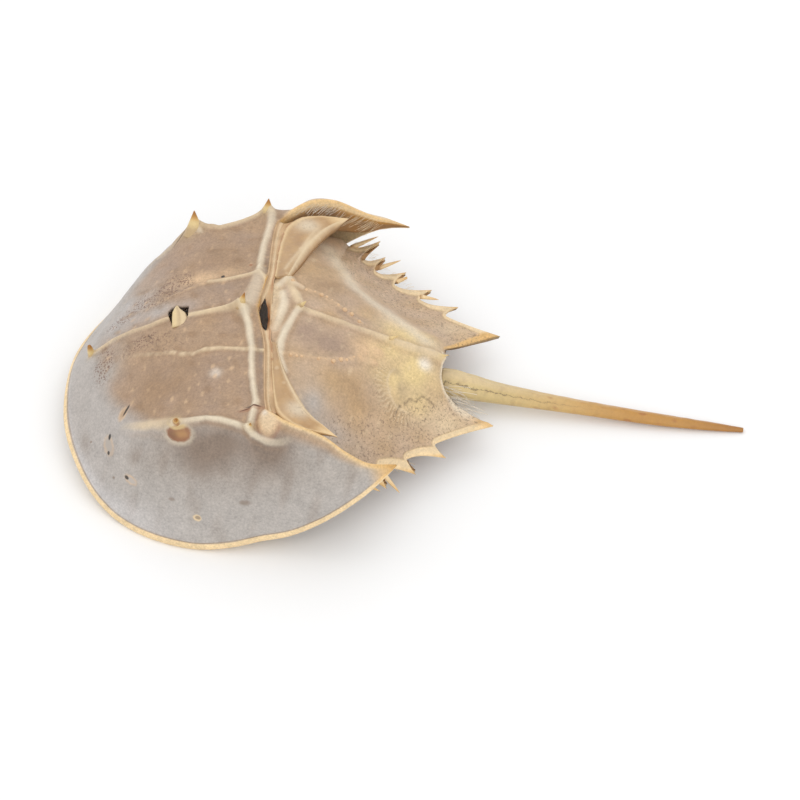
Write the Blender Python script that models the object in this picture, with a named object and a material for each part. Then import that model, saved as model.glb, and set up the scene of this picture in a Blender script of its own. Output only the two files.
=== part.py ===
"""Dried shell of a young horseshoe crab: front shield, rear shield, tail spine and edge spines.

Lengths in the tables are millimetres in the shell's own layout: X runs from the front rim to the
tail, Y to the animal's right, Z up from the surface that the rim rests on. place() turns them into
metres about the middle of the shell's box.
"""
import math

import bmesh
import bpy
import numpy as np
from mathutils import Vector

MM = 0.001
ORIGIN_X = 72.41          # half of the whole length, so that the origin is under the middle
WARP = 0.053              # the dried shell is slightly out of square: X shifts with Y,
WARP_LESS_UP = 0.0024     # less so higher up
WARP_MORE_BACK = 0.0006   # and more so behind WARP_FROM
WARP_FROM = 35.0
RIM_TILT = 0.10           # the front of the rim dips to the right, within RIM_TILT_REACH
RIM_TILT_REACH = 17.0

# Front shield. Each rib runs from the rim to the rear border, on the right half.
SHIELD_CENTRE_X = 37.8
SHIELD_WALL = 0.95
RIM_BEAD = 0.7
FLANGE_WIDTH = 5.0
FLANK_TURN = 0.42         # where along the flank its bulge is given
RIB_COLUMNS = ("angle", "reach", "rim_lift", "border_x", "border_y", "border_lift",
               "shoulder_in", "bulge_lift", "shoulder_lift", "middle_lift", "wall_drop")
RIBS = (
    (0.0, 37.4, 5.0, 42.2, 0.0, 29.2, 6.5, 10.0, 14.2, 25.2, 2.6),
    (20.0, 38.4, 3.4, 43.2, 5.0, 29.0, 8.0, 7.4, 14.0, 25.2, 2.6),
    (32.0, 39.1, 2.4, 43.8, 8.0, 28.8, 9.0, 8.4, 15.8, 25.4, 2.8),
    (46.0, 40.2, 1.1, 44.2, 11.0, 28.5, 10.9, 10.8, 19.4, 26.2, 3.0),
    (56.0, 40.6, 0.3, 44.3, 14.0, 28.2, 13.0, 14.0, 23.1, 26.4, 3.2),
    (66.0, 40.9, 0.0, 44.4, 17.0, 27.9, 16.2, 16.4, 25.1, 26.9, 3.4),
    (80.0, 41.15, 0.0, 44.6, 21.5, 27.5, 14.9, 16.2, 25.6, 26.8, 4.2),
    (92.0, 41.3, 1.3, 45.2, 26.0, 27.2, 12.1, 16.6, 26.2, 26.8, 6.0),
    (100.0, 41.6, 2.9, 48.0, 28.6, 27.9, 10.6, 17.2, 26.7, 27.5, 8.0),
    (108.0, 43.2, 4.9, 52.5, 31.3, 28.3, 8.0, 18.8, 27.6, 28.1, 8.8),
    (114.0, 44.9, 7.8, 56.5, 32.5, 27.2, 6.8, 19.4, 26.5, 27.0, 8.6),
    (122.0, 46.9, 12.4, 61.7, 33.6, 23.4, 5.2, 19.0, 22.6, 23.1, 6.4),
    (129.0, 47.9, 16.0, 66.7, 34.0, 20.4, 2.9, 18.9, 20.0, 20.3, 2.4),
    (135.9, 48.0, 18.9, 72.2, 33.3, 19.4, 0.4, 19.2, 19.35, 19.38, 0.25),
)

# Raised lines on the front shield: points on the right half, height, half width.
MEDIAN_RIDGE = ((6.5, 0.0), (14.0, 0.0), (25.0, 0.0), (38.5, 0.0))
EYE_RIDGE = ((14.5, 21.4), (20.0, 24.1), (24.0, 25.8), (29.0, 26.7), (33.0, 26.6), (38.0, 27.9),
             (42.2, 30.0))
REAR_BAND = ((39.6, 0.0), (41.0, 4.5), (42.2, 9.0), (42.2, 18.0), (41.9, 25.0), (42.2, 30.2))

# Thorns: foot, tip, foot radius. Side thorns are repeated on the left, and their last value is how
# much further back the right one stands than the left one.
MEDIAN_THORNS = (
    ((7.2, 0.0, 13.2), (5.8, 0.0, 16.6), 1.4),
    ((38.2, 0.0, 29.0), (39.8, 0.0, 33.6), 1.7),
)
SIDE_THORNS = (
    ((27.2, 27.0, 21.8), (27.4, 29.1, 27.7), 2.0, 0.0),
    ((42.1, 30.0, 24.6), (42.4, 31.1, 29.5), 1.8, 0.7),
)
# Outline of the hole where the middle thorn broke away, and the heights that it is cut between.
HOLE_OUTLINE = ((23.2, 0.9), (24.7, 2.9), (27.8, 3.1), (28.3, 0.6), (26.3, -2.2), (24.3, -2.2))
HOLE_SPAN = (20.0, 32.0)

# Rear shield. Each station gives the middle line, the edge, and the heights between them.
PLATE_WALL = 0.9
STATION_COLUMNS = ("step", "middle_x", "middle_lift", "edge_x", "edge_y", "edge_lift",
                   "furrow_lift", "flank_at", "flank_lift")
STATIONS = (
    (0.0, 44.9, 28.6, 46.6, 25.2, 24.4, 28.2, 0.80, 26.6),
    (0.25, 47.2, 28.8, 48.8, 27.0, 20.6, 28.3, 0.74, 26.8),
    (0.5, 49.8, 28.4, 51.2, 28.8, 17.2, 27.8, 0.70, 25.8),
    (0.75, 53.2, 27.2, 54.6, 32.0, 14.0, 26.4, 0.64, 22.6),
    (1.0, 57.2, 25.6, 58.4, 34.4, 12.0, 24.6, 0.62, 19.6),
    (2.0, 60.4, 24.0, 61.6, 31.7, 11.0, 22.8, 0.62, 17.2),
    (3.0, 63.6, 22.4, 64.4, 29.0, 9.7, 21.0, 0.62, 15.2),
    (4.0, 68.2, 20.0, 68.7, 25.8, 8.6, 18.4, 0.62, 12.8),
    (5.0, 73.8, 17.2, 74.4, 22.4, 7.5, 15.4, 0.62, 10.4),
    (6.0, 78.6, 14.8, 80.4, 17.8, 7.2, 13.0, 0.62, 9.4),
    (6.5, 79.8, 13.8, 86.0, 15.0, 7.0, 12.4, 0.62, 9.0),
    (7.0, 80.5, 13.2, 92.1, 12.6, 6.7, 11.8, 0.66, 8.2),
)
FURROW_AT = 0.3
TOOTH_TIPS = {1: (65.2, 35.8, 12.2), 2: (66.4, 32.2, 10.8), 3: (70.8, 30.4, 7.9),
              4: (76.6, 25.9, 7.0), 5: (82.6, 21.2, 6.6)}
TOOTH_AT = 0.62
TOOTH_REACH_IN = 0.85
SPINE_HOOK = 0.9          # how hollow the inner edge of each rear corner spine is
PLATE_THORNS = (
    ((50.4, 0.0, 27.0), (52.4, 0.0, 30.2), 1.2),
    ((69.0, 0.0, 18.8), (71.0, 0.0, 20.6), 0.9),
    ((79.6, 0.0, 12.8), (81.6, 0.0, 14.6), 1.0),
)
LOBE_FRONT = ((45.5, 9.0, 28.6), (46.0, 18.0, 27.9), (46.9, 25.6, 27.0), (50.6, 28.6, 26.9),
              (59.8, 30.6, 24.2))
LOBE_REAR = ((48.6, 9.6, 28.8), (50.6, 14.0, 27.8), (52.8, 19.0, 26.6), (55.4, 24.4, 25.4),
             (59.8, 30.6, 24.2))
LOBE_THICKNESS = 1.6

# Tail spine: distance along X, Y, height of the middle, width, depth.
TAIL_SECTIONS = (
    (80.9, 0.2, 6.0, 5.2, 4.2),
    (82.0, 0.1, 5.9, 6.8, 5.6),
    (86.0, -0.3, 5.2, 6.4, 5.0),
    (92.3, -1.2, 4.2, 5.2, 4.0),
    (101.0, -2.5, 3.4, 4.3, 3.2),
    (110.0, -3.8, 2.7, 3.6, 2.7),
    (128.0, -6.3, 1.55, 2.9, 2.1),
    (140.0, -7.6, 0.85, 1.9, 1.45),
    (145.6, -8.1, 0.5, 1.1, 0.9),
)
TAIL_SIDES = 10

# Movable edge spines: foot, tip, foot radius. Side is +1 right, -1 left.
EDGE_SPINES = (
    ("edge_spine_right_1", 1, (59.9, 35.6, 11.9), (64.4, 38.0, 12.6), 0.62),
    ("edge_spine_right_3", 1, (65.8, 30.4, 9.6), (69.7, 32.0, 10.0), 0.6),
    ("edge_spine_right_4_stub", 1, (69.9, 27.2, 8.7), (71.3, 27.5, 9.2), 0.6),
    ("edge_spine_right_5", 1, (75.4, 23.0, 7.7), (78.4, 22.6, 7.4), 0.55),
    ("edge_spine_left_1", -1, (59.9, 35.6, 11.9), (64.4, 37.4, 12.4), 0.62),
    ("edge_spine_left_2", -1, (62.9, 32.9, 10.9), (66.5, 34.8, 10.8), 0.6),
    ("edge_spine_left_3", -1, (65.8, 30.4, 9.6), (69.5, 32.4, 9.4), 0.6),
    ("edge_spine_left_4", -1, (70.0, 27.4, 8.5), (73.6, 30.8, 6.9), 0.62),
)

SHIELD_STEPS = 58
PLATE_STEPS_FRONT = 5
PLATE_STEPS_PER_TOOTH = (0.22, 0.44, 0.62, 0.8, 1.0)


def place(points):
    """Shell layout in millimetres to metres about the origin, with the dried shell's warp."""
    spots = np.array(points, float)
    x, y, z = (spots[..., i].copy() for i in range(3))
    skew = WARP-WARP_LESS_UP*z+WARP_MORE_BACK*np.maximum(x-WARP_FROM, 0)
    spots[..., 0] = x+y*skew-ORIGIN_X
    spots[..., 2] = z-RIM_TILT*y*np.maximum(1-(x/RIM_TILT_REACH)**2, 0)**3
    return spots*MM


def smooth_through(knots, values, at, level_start=False):
    """A curve through the values that never swings past them."""
    x = np.asarray(knots, float)
    y = np.asarray(values, float)
    at = np.asarray(at, float)
    step = np.diff(x)
    rise = np.diff(y)/step
    slope = np.zeros_like(y)
    slope[-1] = rise[-1]
    slope[0] = 0.0 if level_start else rise[0]
    for i in range(1, len(x)-1):
        if rise[i-1]*rise[i] > 0:
            before = 2*step[i]+step[i-1]
            after = step[i]+2*step[i-1]
            slope[i] = (before+after)/(before/rise[i-1]+after/rise[i])
    k = np.clip(np.searchsorted(x, at, side="right")-1, 0, len(x)-2)
    t = (at-x[k])/step[k]
    start = y[k]*(1+2*t)*(1-t)**2+slope[k]*step[k]*t*(1-t)**2
    end = y[k+1]*t*t*(3-2*t)+slope[k+1]*step[k]*t*t*(t-1)
    return start+end


def row_at(table, columns, at):
    """Every column of a table, read at one place along its first column."""
    knots = [row[0] for row in table]
    found = {}
    for i, name in enumerate(columns):
        found[name] = float(smooth_through(knots, [row[i] for row in table], at, level_start=True))
    return found


def distance_to_path(x, y, path):
    """Shortest distance in plan from points to a path of straight runs, mirrored by |y|."""
    y = np.abs(y)
    best = np.full(np.shape(x), 1e9)
    for (ax, ay), (bx, by) in zip(path, path[1:]):
        length_2 = (bx-ax)**2+(by-ay)**2
        t = np.clip(((x-ax)*(bx-ax)+(y-ay)*(by-ay))/length_2, 0, 1)
        best = np.minimum(best, np.hypot(x-ax-t*(bx-ax), y-ay-t*(by-ay)))
    return best


def ridge(x, y, path, height, half_width):
    """A rounded raised line along a path."""
    return height*np.exp(-(distance_to_path(x, y, path)/half_width)**2)


def shield_relief(x, y):
    """Height that the front shield's raised lines add."""
    return (ridge(x, y, MEDIAN_RIDGE, 1.0, 1.6)
            + ridge(x, y, EYE_RIDGE, 1.2, 1.7)
            + ridge(x, y, REAR_BAND, 1.0, 1.4))


def rib_ring(angle):
    """Closed section of the front shield along one rib, from the rim over the top and back below."""
    side = math.copysign(1, angle)
    rib = row_at(RIBS, RIB_COLUMNS, abs(angle))
    turn = math.radians(rib["angle"])
    rim = np.array((SHIELD_CENTRE_X-rib["reach"]*math.cos(turn), rib["reach"]*math.sin(turn)))
    border = np.array((rib["border_x"], rib["border_y"]))
    length = float(np.linalg.norm(border-rim))
    inward = (border-rim)/max(length, 1e-6)
    wall = min(SHIELD_WALL, 0.2*length+0.05)
    bead = min(RIM_BEAD, 0.16*length+0.06)
    shoulder = rib["shoulder_in"]
    reach = (0, FLANK_TURN*shoulder, shoulder, 0.5*(shoulder+length), length)
    lift = (rib["rim_lift"]+2*bead, rib["bulge_lift"], rib["shoulder_lift"], rib["middle_lift"],
            rib["border_lift"])
    flank = np.linspace(0, shoulder, 8)[1:]
    roof = np.linspace(shoulder, length, 9)[1:]
    along = np.concatenate(([0.0], flank, roof))
    top = smooth_through(reach, lift, along)
    slope = np.gradient(top, along)
    normal = np.stack((-slope, np.ones_like(slope)), -1)
    normal /= np.linalg.norm(normal, axis=1)[:, None]
    fade = np.clip(length/12.0, 0, 1)
    plan = rim+along[:, None]*inward
    outer = np.stack((along, top+fade*shield_relief(plan[:, 0], plan[:, 1])), -1)
    inner = np.stack((along, top), -1)-wall*normal
    inner = inner[2:-1]
    inner = inner[(inner[:, 0] > 2.2*bead) & (inner[:, 0] < length-1.6*wall)]
    picks = np.linspace(0, 1, 12)*(len(inner)-1)
    if len(inner) > 1:
        spots = np.arange(len(inner))
        inner = np.stack([np.interp(picks, spots, inner[:, k]) for k in (0, 1)], -1)
    else:
        inner = np.stack((np.linspace(2*bead, length-wall, 12),
                          np.full(12, 0.5*(rib["rim_lift"]+rib["border_lift"]))), -1)
    low = rib["border_lift"]-rib["wall_drop"]
    end = [(length+0.02, rib["border_lift"]-0.35*rib["wall_drop"]),
           (length, low),
           (length-wall, low),
           (length-wall, min(low+0.5*rib["wall_drop"], inner[-1, 1]-0.02))]
    floor = rib["rim_lift"]
    flange = min(FLANGE_WIDTH, 0.42*shoulder)
    shelf = min(wall, 0.6*(inner[0, 1]-floor))
    base = [(max(flange*0.9, 2.2*bead), floor+shelf),
            (max(flange, 2.3*bead), floor+0.5*shelf),
            (max(flange*0.9, 2.2*bead), floor),
            (bead, floor),
            (0.25*bead, floor+0.35*bead),
            (-0.05*bead, floor+bead)]
    section = np.concatenate((outer, end, inner[::-1], base))
    spots = rim+section[:, :1]*inward
    return np.column_stack((spots[:, 0], side*spots[:, 1], section[:, 1]))


def tooth_push(step):
    """How far the rear shield's edge is drawn out into a tooth at one step."""
    tooth = int(math.floor(step))
    if tooth not in TOOTH_TIPS:
        return np.zeros(3)
    along = step-tooth
    root = row_at(STATIONS, STATION_COLUMNS, tooth+TOOTH_AT)
    reach = np.array(TOOTH_TIPS[tooth])-np.array((root["edge_x"], root["edge_y"], root["edge_lift"]))
    if along < TOOTH_AT:
        return reach*(along/TOOTH_AT)**2.0
    return reach*((1-along)/(1-TOOTH_AT))**1.1


def station_ring(step):
    """Closed section of the rear shield at one step, from its left edge over to the right."""
    row = row_at(STATIONS, STATION_COLUMNS, step)
    push = tooth_push(step)
    across = np.array((0, 0.12, 0.22, 0.3, 0.42, 0.54, 0.66, 0.76, 0.84, 0.92, 1.0))
    knots = (0, FURROW_AT, row["flank_at"], 1)
    lifts = (row["middle_lift"], row["furrow_lift"], row["flank_lift"], row["edge_lift"])
    top = smooth_through(knots, lifts, across, level_start=True)
    hook = SPINE_HOOK*np.clip(step-6, 0, 1)
    sweep = np.clip((across-0.28)/0.72, 0, 1)**(1+hook)
    x = row["middle_x"]+(row["edge_x"]-row["middle_x"])*sweep
    y = row["edge_y"]*across
    pull = np.clip((across-TOOTH_REACH_IN)/(1-TOOTH_REACH_IN), 0, 1)
    half = np.column_stack((x, y, top))+pull[:, None]*push
    slope = np.gradient(half[:, 2], half[:, 1])
    normal = np.stack((-slope, np.ones_like(slope)), -1)
    normal /= np.linalg.norm(normal, axis=1)[:, None]
    under = half.copy()
    under[:, 1] -= PLATE_WALL*normal[:, 0]
    under[:, 2] -= PLATE_WALL*normal[:, 1]
    under = under[:-1]
    lip = half[-1]+np.array((0.0, -0.1, -0.55))
    mirror = np.array((1, -1, 1))
    upper = np.concatenate((half[:0:-1]*mirror, half))
    lower = np.concatenate(([lip], under[::-1], under[1:]*mirror, [lip*mirror]))
    return np.concatenate((upper, lower))


def new_object(name, mesh, material, collection):
    item = bpy.data.objects.new(name, mesh)
    collection.objects.link(item)
    if material:
        mesh.materials.append(material)
    return item


def close_loft(name, rings):
    """A closed mesh through rings of equal count, with flat ends."""
    mesh = bpy.data.meshes.new(name)
    form = bmesh.new()
    rows = [[form.verts.new(Vector(spot)) for spot in place(ring)] for ring in rings]
    count = len(rows[0])
    for first, second in zip(rows, rows[1:]):
        for i in range(count):
            j = (i+1) % count
            form.faces.new((first[i], first[j], second[j], second[i]))
    form.faces.new(rows[0])
    form.faces.new(rows[-1])
    bmesh.ops.triangulate(form, faces=form.faces[:])
    bmesh.ops.recalc_face_normals(form, faces=form.faces[:])
    form.to_mesh(mesh)
    form.free()
    return mesh


def thorn(name, foot, tip, radius, collection, sides=8):
    """A pointed cone from foot to tip, used as a cutter."""
    foot = Vector(place(foot))
    tip = Vector(place(tip))
    way = tip-foot
    form = bmesh.new()
    bmesh.ops.create_cone(form, cap_ends=True, segments=sides, radius1=radius*MM, radius2=0.12*MM,
                          depth=way.length)
    turn = Vector((0, 0, 1)).rotation_difference(way).to_matrix().to_4x4()
    bmesh.ops.transform(form, matrix=turn, verts=form.verts)
    bmesh.ops.translate(form, vec=(foot+tip)/2, verts=form.verts)
    mesh = bpy.data.meshes.new(name)
    form.to_mesh(mesh)
    form.free()
    item = new_object(name, mesh, None, collection)
    item.hide_render = True
    item.display_type = "WIRE"
    return item


def boolean(item, cutter, operation):
    step = item.modifiers.new(cutter.name, "BOOLEAN")
    step.operation = operation
    step.object = cutter


def finish(name, colour, roughness):
    material = bpy.data.materials.new(name)
    material.use_nodes = True
    shader = material.node_tree.nodes["Principled BSDF"]
    shader.inputs["Base Color"].default_value = (*colour, 1)
    shader.inputs["Roughness"].default_value = roughness
    shader.inputs["Metallic"].default_value = 0
    return material


def mirrored(spot, side):
    return (spot[0], spot[1]*side, spot[2])


def build_front_shield(parts, cutters):
    last = RIBS[-1][0]
    fractions = np.linspace(-1, 1, SHIELD_STEPS)
    angles = last*np.sign(fractions)*np.abs(fractions)**0.92
    mesh = close_loft("front_shield", [rib_ring(a) for a in angles])
    shield = new_object("front_shield", mesh, finish("tan shell", (0.42, 0.33, 0.27), 0.45), parts)
    spikes = [(foot, tip, radius) for foot, tip, radius in MEDIAN_THORNS]
    for foot, tip, radius, stagger in SIDE_THORNS:
        for side in (1, -1):
            ends = [(spot[0]+side*stagger/2, side*spot[1], spot[2]) for spot in (foot, tip)]
            spikes.append((*ends, radius))
    for i, (foot, tip, radius) in enumerate(spikes):
        boolean(shield, thorn(f"shield_thorn_{i}", foot, tip, radius, cutters), "UNION")
    levels = [np.array([(x, y, lift) for x, y in HOLE_OUTLINE]) for lift in HOLE_SPAN]
    cutter = new_object("thorn_hole", close_loft("thorn_hole", levels), None, cutters)
    cutter.hide_render = True
    cutter.display_type = "WIRE"
    boolean(shield, cutter, "DIFFERENCE")
    return shield


def lobe_mesh(side):
    """Flat pointed lobe that stands on a front corner of the rear shield."""
    rings = []
    for front, rear in zip(LOBE_FRONT, LOBE_REAR):
        front = np.array(mirrored(front, side), float)
        rear = np.array(mirrored(rear, side), float)
        width = np.linalg.norm(rear-front)
        depth = min(LOBE_THICKNESS, 0.3*width+0.5)
        if width < 0.5:
            rear = front+np.array((0.35, -0.35*side, 0))
        middle = 0.5*(front+rear)+np.array((0, 0, min(0.5, 0.1*width)))
        drop = np.array((0, 0, depth))
        rings.append(np.array((front, middle, rear, rear-drop, middle-drop, front-drop)))
    return close_loft("corner_lobe", rings)


def build_rear_shield(parts, cutters):
    steps = list(np.linspace(0, 1, PLATE_STEPS_FRONT+1))
    for tooth in sorted(TOOTH_TIPS):
        steps += [tooth+part for part in PLATE_STEPS_PER_TOOTH]
    steps += [6.25, 6.5, 6.75, 7.0]
    mesh = close_loft("rear_shield", [station_ring(s) for s in steps])
    plate = new_object("rear_shield", mesh, finish("mauve shell", (0.40, 0.31, 0.26), 0.5), parts)
    for side, word in ((1, "right"), (-1, "left")):
        lobe = new_object(f"corner_lobe_{word}", lobe_mesh(side), None, cutters)
        lobe.hide_render = True
        lobe.display_type = "WIRE"
        boolean(plate, lobe, "UNION")
    for i, (foot, tip, radius) in enumerate(PLATE_THORNS):
        boolean(plate, thorn(f"plate_thorn_{i}", foot, tip, radius, cutters), "UNION")
    return plate


def build_tail(parts):
    rings = []
    for x, y, lift, width, depth in TAIL_SECTIONS:
        ring = []
        for i in range(TAIL_SIDES):
            turn = 2*math.pi*i/TAIL_SIDES
            wide = math.cos(turn)
            high = math.sin(turn)
            squeeze = 1-0.42*max(high, 0)**1.5
            flat = high if high > 0 else max(high, -0.85)/0.85
            ring.append((x, y+0.5*width*wide*squeeze, lift+0.5*depth*flat))
        rings.append(np.array(ring))
    return new_object("tail_spine", close_loft("tail_spine", rings),
                      finish("amber spine", (0.45, 0.28, 0.09), 0.4), parts)


def build_edge_spines(parts):
    horn = finish("honey spine", (0.62, 0.42, 0.22), 0.4)
    for name, side, foot, tip, radius in EDGE_SPINES:
        foot = np.array(mirrored(foot, side), float)
        tip = np.array(mirrored(tip, side), float)
        way = (tip-foot)/np.linalg.norm(tip-foot)
        level = np.cross(way, (0, 0, 1))
        level /= np.linalg.norm(level)
        upright = np.cross(level, way)
        stub = name.endswith("stub")
        rings = []
        for along, size in ((0, 0.75), (0.12, 1.0), (0.5, 0.72), (0.85, 0.34), (1.0, 0.6 if stub else 0.08)):
            if stub:
                size = max(size, 0.6)
            middle = foot+(tip-foot)*along
            ring = []
            for i in range(6):
                turn = math.pi*i/3
                ring.append(middle+radius*size*(math.cos(turn)*level+0.75*math.sin(turn)*upright))
            rings.append(np.array(ring))
        new_object(name, close_loft(name, rings), horn, parts)


def build():
    for item in list(bpy.data.objects):
        bpy.data.objects.remove(item, do_unlink=True)
    parts = bpy.data.collections.new("horseshoe_crab_shell")
    cutters = bpy.data.collections.new("cutters")
    for collection in (parts, cutters):
        bpy.context.scene.collection.children.link(collection)
    build_front_shield(parts, cutters)
    build_rear_shield(parts, cutters)
    build_tail(parts)
    build_edge_spines(parts)


build()
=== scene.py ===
# Dried shell of a young horseshoe crab on a pale table.
# Lengths in the tables are millimetres: X from the front rim to the tail, Y to the animal's right, Z up.
import math

import bmesh
import bpy
import numpy as np
from mathutils import Matrix, Vector
from mathutils.bvhtree import BVHTree


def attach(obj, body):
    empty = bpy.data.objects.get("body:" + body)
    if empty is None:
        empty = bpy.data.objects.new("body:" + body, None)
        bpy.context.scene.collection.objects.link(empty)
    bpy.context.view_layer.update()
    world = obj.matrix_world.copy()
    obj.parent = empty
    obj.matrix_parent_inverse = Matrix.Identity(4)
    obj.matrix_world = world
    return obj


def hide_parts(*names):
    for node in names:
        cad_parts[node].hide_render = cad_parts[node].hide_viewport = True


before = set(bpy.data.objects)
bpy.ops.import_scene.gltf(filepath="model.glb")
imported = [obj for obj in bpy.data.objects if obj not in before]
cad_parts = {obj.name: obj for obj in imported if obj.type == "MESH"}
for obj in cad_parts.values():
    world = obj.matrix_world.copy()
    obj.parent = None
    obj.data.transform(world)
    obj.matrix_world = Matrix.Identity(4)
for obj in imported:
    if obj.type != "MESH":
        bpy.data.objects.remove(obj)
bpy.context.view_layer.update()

layout = {
    "mm": 0.001,
    "originX": 72.41,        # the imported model's origin, back from the front rim
    "skew": 0.053,           # the dried shell is slightly out of square
    "skewLessUp": 0.0024,
    "skewMoreBack": 0.0006,
    "skewFrom": 35.0,
    "rimTilt": 0.10,
    "rimTiltReach": 17.0,
}


def place(points):
    # the tables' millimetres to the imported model's metres
    spots = np.array(points, float)
    x, y, z = (spots[..., i].copy() for i in range(3))
    skew = (layout["skew"]-layout["skewLessUp"]*z
            + layout["skewMoreBack"]*np.maximum(x-layout["skewFrom"], 0))
    tilt = np.maximum(1-(x/layout["rimTiltReach"])**2, 0)**3
    spots[..., 0] = x+y*skew-layout["originX"]
    spots[..., 2] = z-layout["rimTilt"]*y*tilt
    return spots*layout["mm"]


def smoothThrough(knots, values, at, levelStart=False):
    # a curve through the values that never swings past them
    x = np.asarray(knots, float)
    y = np.asarray(values, float)
    at = np.asarray(at, float)
    step = np.diff(x)
    rise = np.diff(y)/step
    slope = np.zeros_like(y)
    slope[-1] = rise[-1]
    slope[0] = 0.0 if levelStart else rise[0]
    for i in range(1, len(x)-1):
        if rise[i-1]*rise[i] > 0:
            before = 2*step[i]+step[i-1]
            after = step[i]+2*step[i-1]
            slope[i] = (before+after)/(before/rise[i-1]+after/rise[i])
    k = np.clip(np.searchsorted(x, at, side="right")-1, 0, len(x)-2)
    t = (at-x[k])/step[k]
    start = y[k]*(1+2*t)*(1-t)**2+slope[k]*step[k]*t*(1-t)**2
    end = y[k+1]*t*t*(3-2*t)+slope[k+1]*step[k]*t*t*(t-1)
    return start+end


def columnsAt(table, names, at):
    knots = [row[0] for row in table]
    return {name: smoothThrough(knots, [row[i] for row in table], at, levelStart=True)
            for i, name in enumerate(names)}


def nearPath(x, y, path):
    # distance in plan to a path of straight runs, and how far along it, 0 to 1
    best = np.full(x.shape, 1e9)
    along = np.zeros(x.shape)
    run = 0.0
    for (ax, ay), (bx, by) in zip(path, path[1:]):
        length = math.hypot(bx-ax, by-ay)
        t = np.clip(((x-ax)*(bx-ax)+(y-ay)*(by-ay))/length**2, 0, 1)
        gap = np.hypot(x-ax-t*(bx-ax), y-ay-t*(by-ay))
        closer = gap < best
        best = np.where(closer, gap, best)
        along = np.where(closer, run+t*length, along)
        run += length
    return best, along/run


def easeStep(low, high, value):
    t = np.clip((value-low)/(high-low), 0, 1)
    return t*t*(3-2*t)


def linear(colour):
    # a colour as the eye reads it, 0 to 1, to the renderer's light values
    c = np.asarray(colour, float)
    return np.where(c <= 0.04045, c/12.92, ((c+0.055)/1.055)**2.4)


def blobNoise(x, y, size, seed):
    # smooth uneven values from -1 to 1 over the plan, made of slanted waves
    source = np.random.default_rng(seed)
    total = np.zeros(np.shape(x))
    for _ in range(9):
        turn = source.uniform(0, math.pi)
        length = size*source.uniform(0.6, 1.7)
        total = total+np.sin((x*math.cos(turn)+y*math.sin(turn))*2*math.pi/length+source.uniform(0, 6.3))
    return total/4.0


def addItem(name, data):
    item = bpy.data.objects.new(name, data)
    bpy.context.scene.collection.objects.link(item)
    return item


def addMesh(name, spots, faces):
    mesh = bpy.data.meshes.new(name)
    mesh.from_pydata([tuple(p) for p in spots.reshape(-1, 3)], [], faces)
    return addItem(name, mesh)


def ringFaces(rows, columns):
    # quads between closed rings of points, and a cap on the first and the last ring
    faces = []
    for r in range(rows-1):
        base = r*columns
        for c in range(columns):
            d = (c+1) % columns
            faces.append((base+c, base+d, base+columns+d, base+columns+c))
    faces.append(tuple(range(columns)))
    faces.append(tuple(range((rows-1)*columns, rows*columns)))
    return faces


def outward(item):
    form = bmesh.new()
    form.from_mesh(item.data)
    bmesh.ops.remove_doubles(form, verts=form.verts, dist=1e-7)
    bmesh.ops.recalc_face_normals(form, faces=form.faces[:])
    form.to_mesh(item.data)
    form.free()
    item.data.shade_smooth()


def paintVerts(item, name, values):
    # one colour for each vertex, from an array of rows of three or four
    values = np.asarray(values, float).reshape(len(item.data.vertices), -1)
    full = np.ones((len(values), 4), np.float32)
    full[:, :values.shape[1]] = values
    layer = item.data.attributes.new(name, "FLOAT_COLOR", "POINT")
    layer.data.foreach_set("color", full.ravel())


def ringMesh(name, rings, tint, masks=None):
    # a closed piece skinned over rings of points in the tables' millimetres, with its colours and masks
    item = addMesh(name, place(rings), ringFaces(*rings.shape[:2]))
    paintVerts(item, "tint", tint)
    paintVerts(item, "masks", np.zeros(rings.shape) if masks is None else masks)
    outward(item)
    return item


def spikeRings(start, tip, sizes, sides, aside, flatten=1.0):
    # round or flattened rings of the given sizes along the straight line from start to tip
    way = (tip-start)/np.linalg.norm(tip-start)
    level = np.cross(way, aside)
    level /= np.linalg.norm(level)
    upright = np.cross(level, way)
    turn = np.linspace(0, 2*math.pi, sides, endpoint=False)
    around = np.cos(turn)[:, None]*level+flatten*np.sin(turn)[:, None]*upright
    along = np.linspace(0, 1, len(sizes))
    return (start+(tip-start)*along[:, None])[:, None]+sizes[:, None, None]*around[None]


palette = {
    "flankGrey": (0.670, 0.637, 0.605),
    "flankLight": (0.705, 0.682, 0.662),
    "flankShade": (0.520, 0.452, 0.395),
    "lavender": (0.700, 0.672, 0.652),
    "tan": (0.660, 0.543, 0.425),
    "mauve": (0.640, 0.542, 0.465),
    "rearMauve": (0.750, 0.650, 0.552),
    "rearTan": (0.730, 0.605, 0.450),
    "brownTan": (0.600, 0.480, 0.360),
    "warmBrown": (0.550, 0.425, 0.295),
    "cream": (0.860, 0.770, 0.630),
    "paleBone": (0.870, 0.810, 0.710),
    # near white, used for painted highlights and for the white bristles
    "glint": (0.960, 0.930, 0.880),
    "rimSheen": (0.790, 0.775, 0.770),
    "pinkCream": (0.850, 0.715, 0.560),
    "yellowHorn": (0.865, 0.765, 0.550),
    "oliveHorn": (0.765, 0.675, 0.460),
    "gold": (0.920, 0.810, 0.630),
    "orangeGold": (0.860, 0.690, 0.430),
    "deepGold": (0.760, 0.555, 0.250),
    "amber": (0.610, 0.390, 0.140),
    "rust": (0.600, 0.360, 0.210),
    "eyeBrown": (0.560, 0.370, 0.240),
    "darkBrown": (0.270, 0.190, 0.140),
    "poreBrown": (0.430, 0.300, 0.240),
    "wrinkleBrown": (0.400, 0.320, 0.270),
    "nearBlack": (0.085, 0.070, 0.060),
    "wingBrown": (0.640, 0.480, 0.300),
    # dark brown for the inner faces: painted shade inside the hollow shell
    "insideShade": (0.340, 0.250, 0.185),
}
palette = {name: linear(value) for name, value in palette.items()}


def tintOver(tint, colour, amount):
    # lays a palette colour over the painted one, where amount is 0 to 1
    amount = np.clip(amount, 0, 1)[..., None]
    return tint*(1-amount)+palette[colour]*amount


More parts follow.
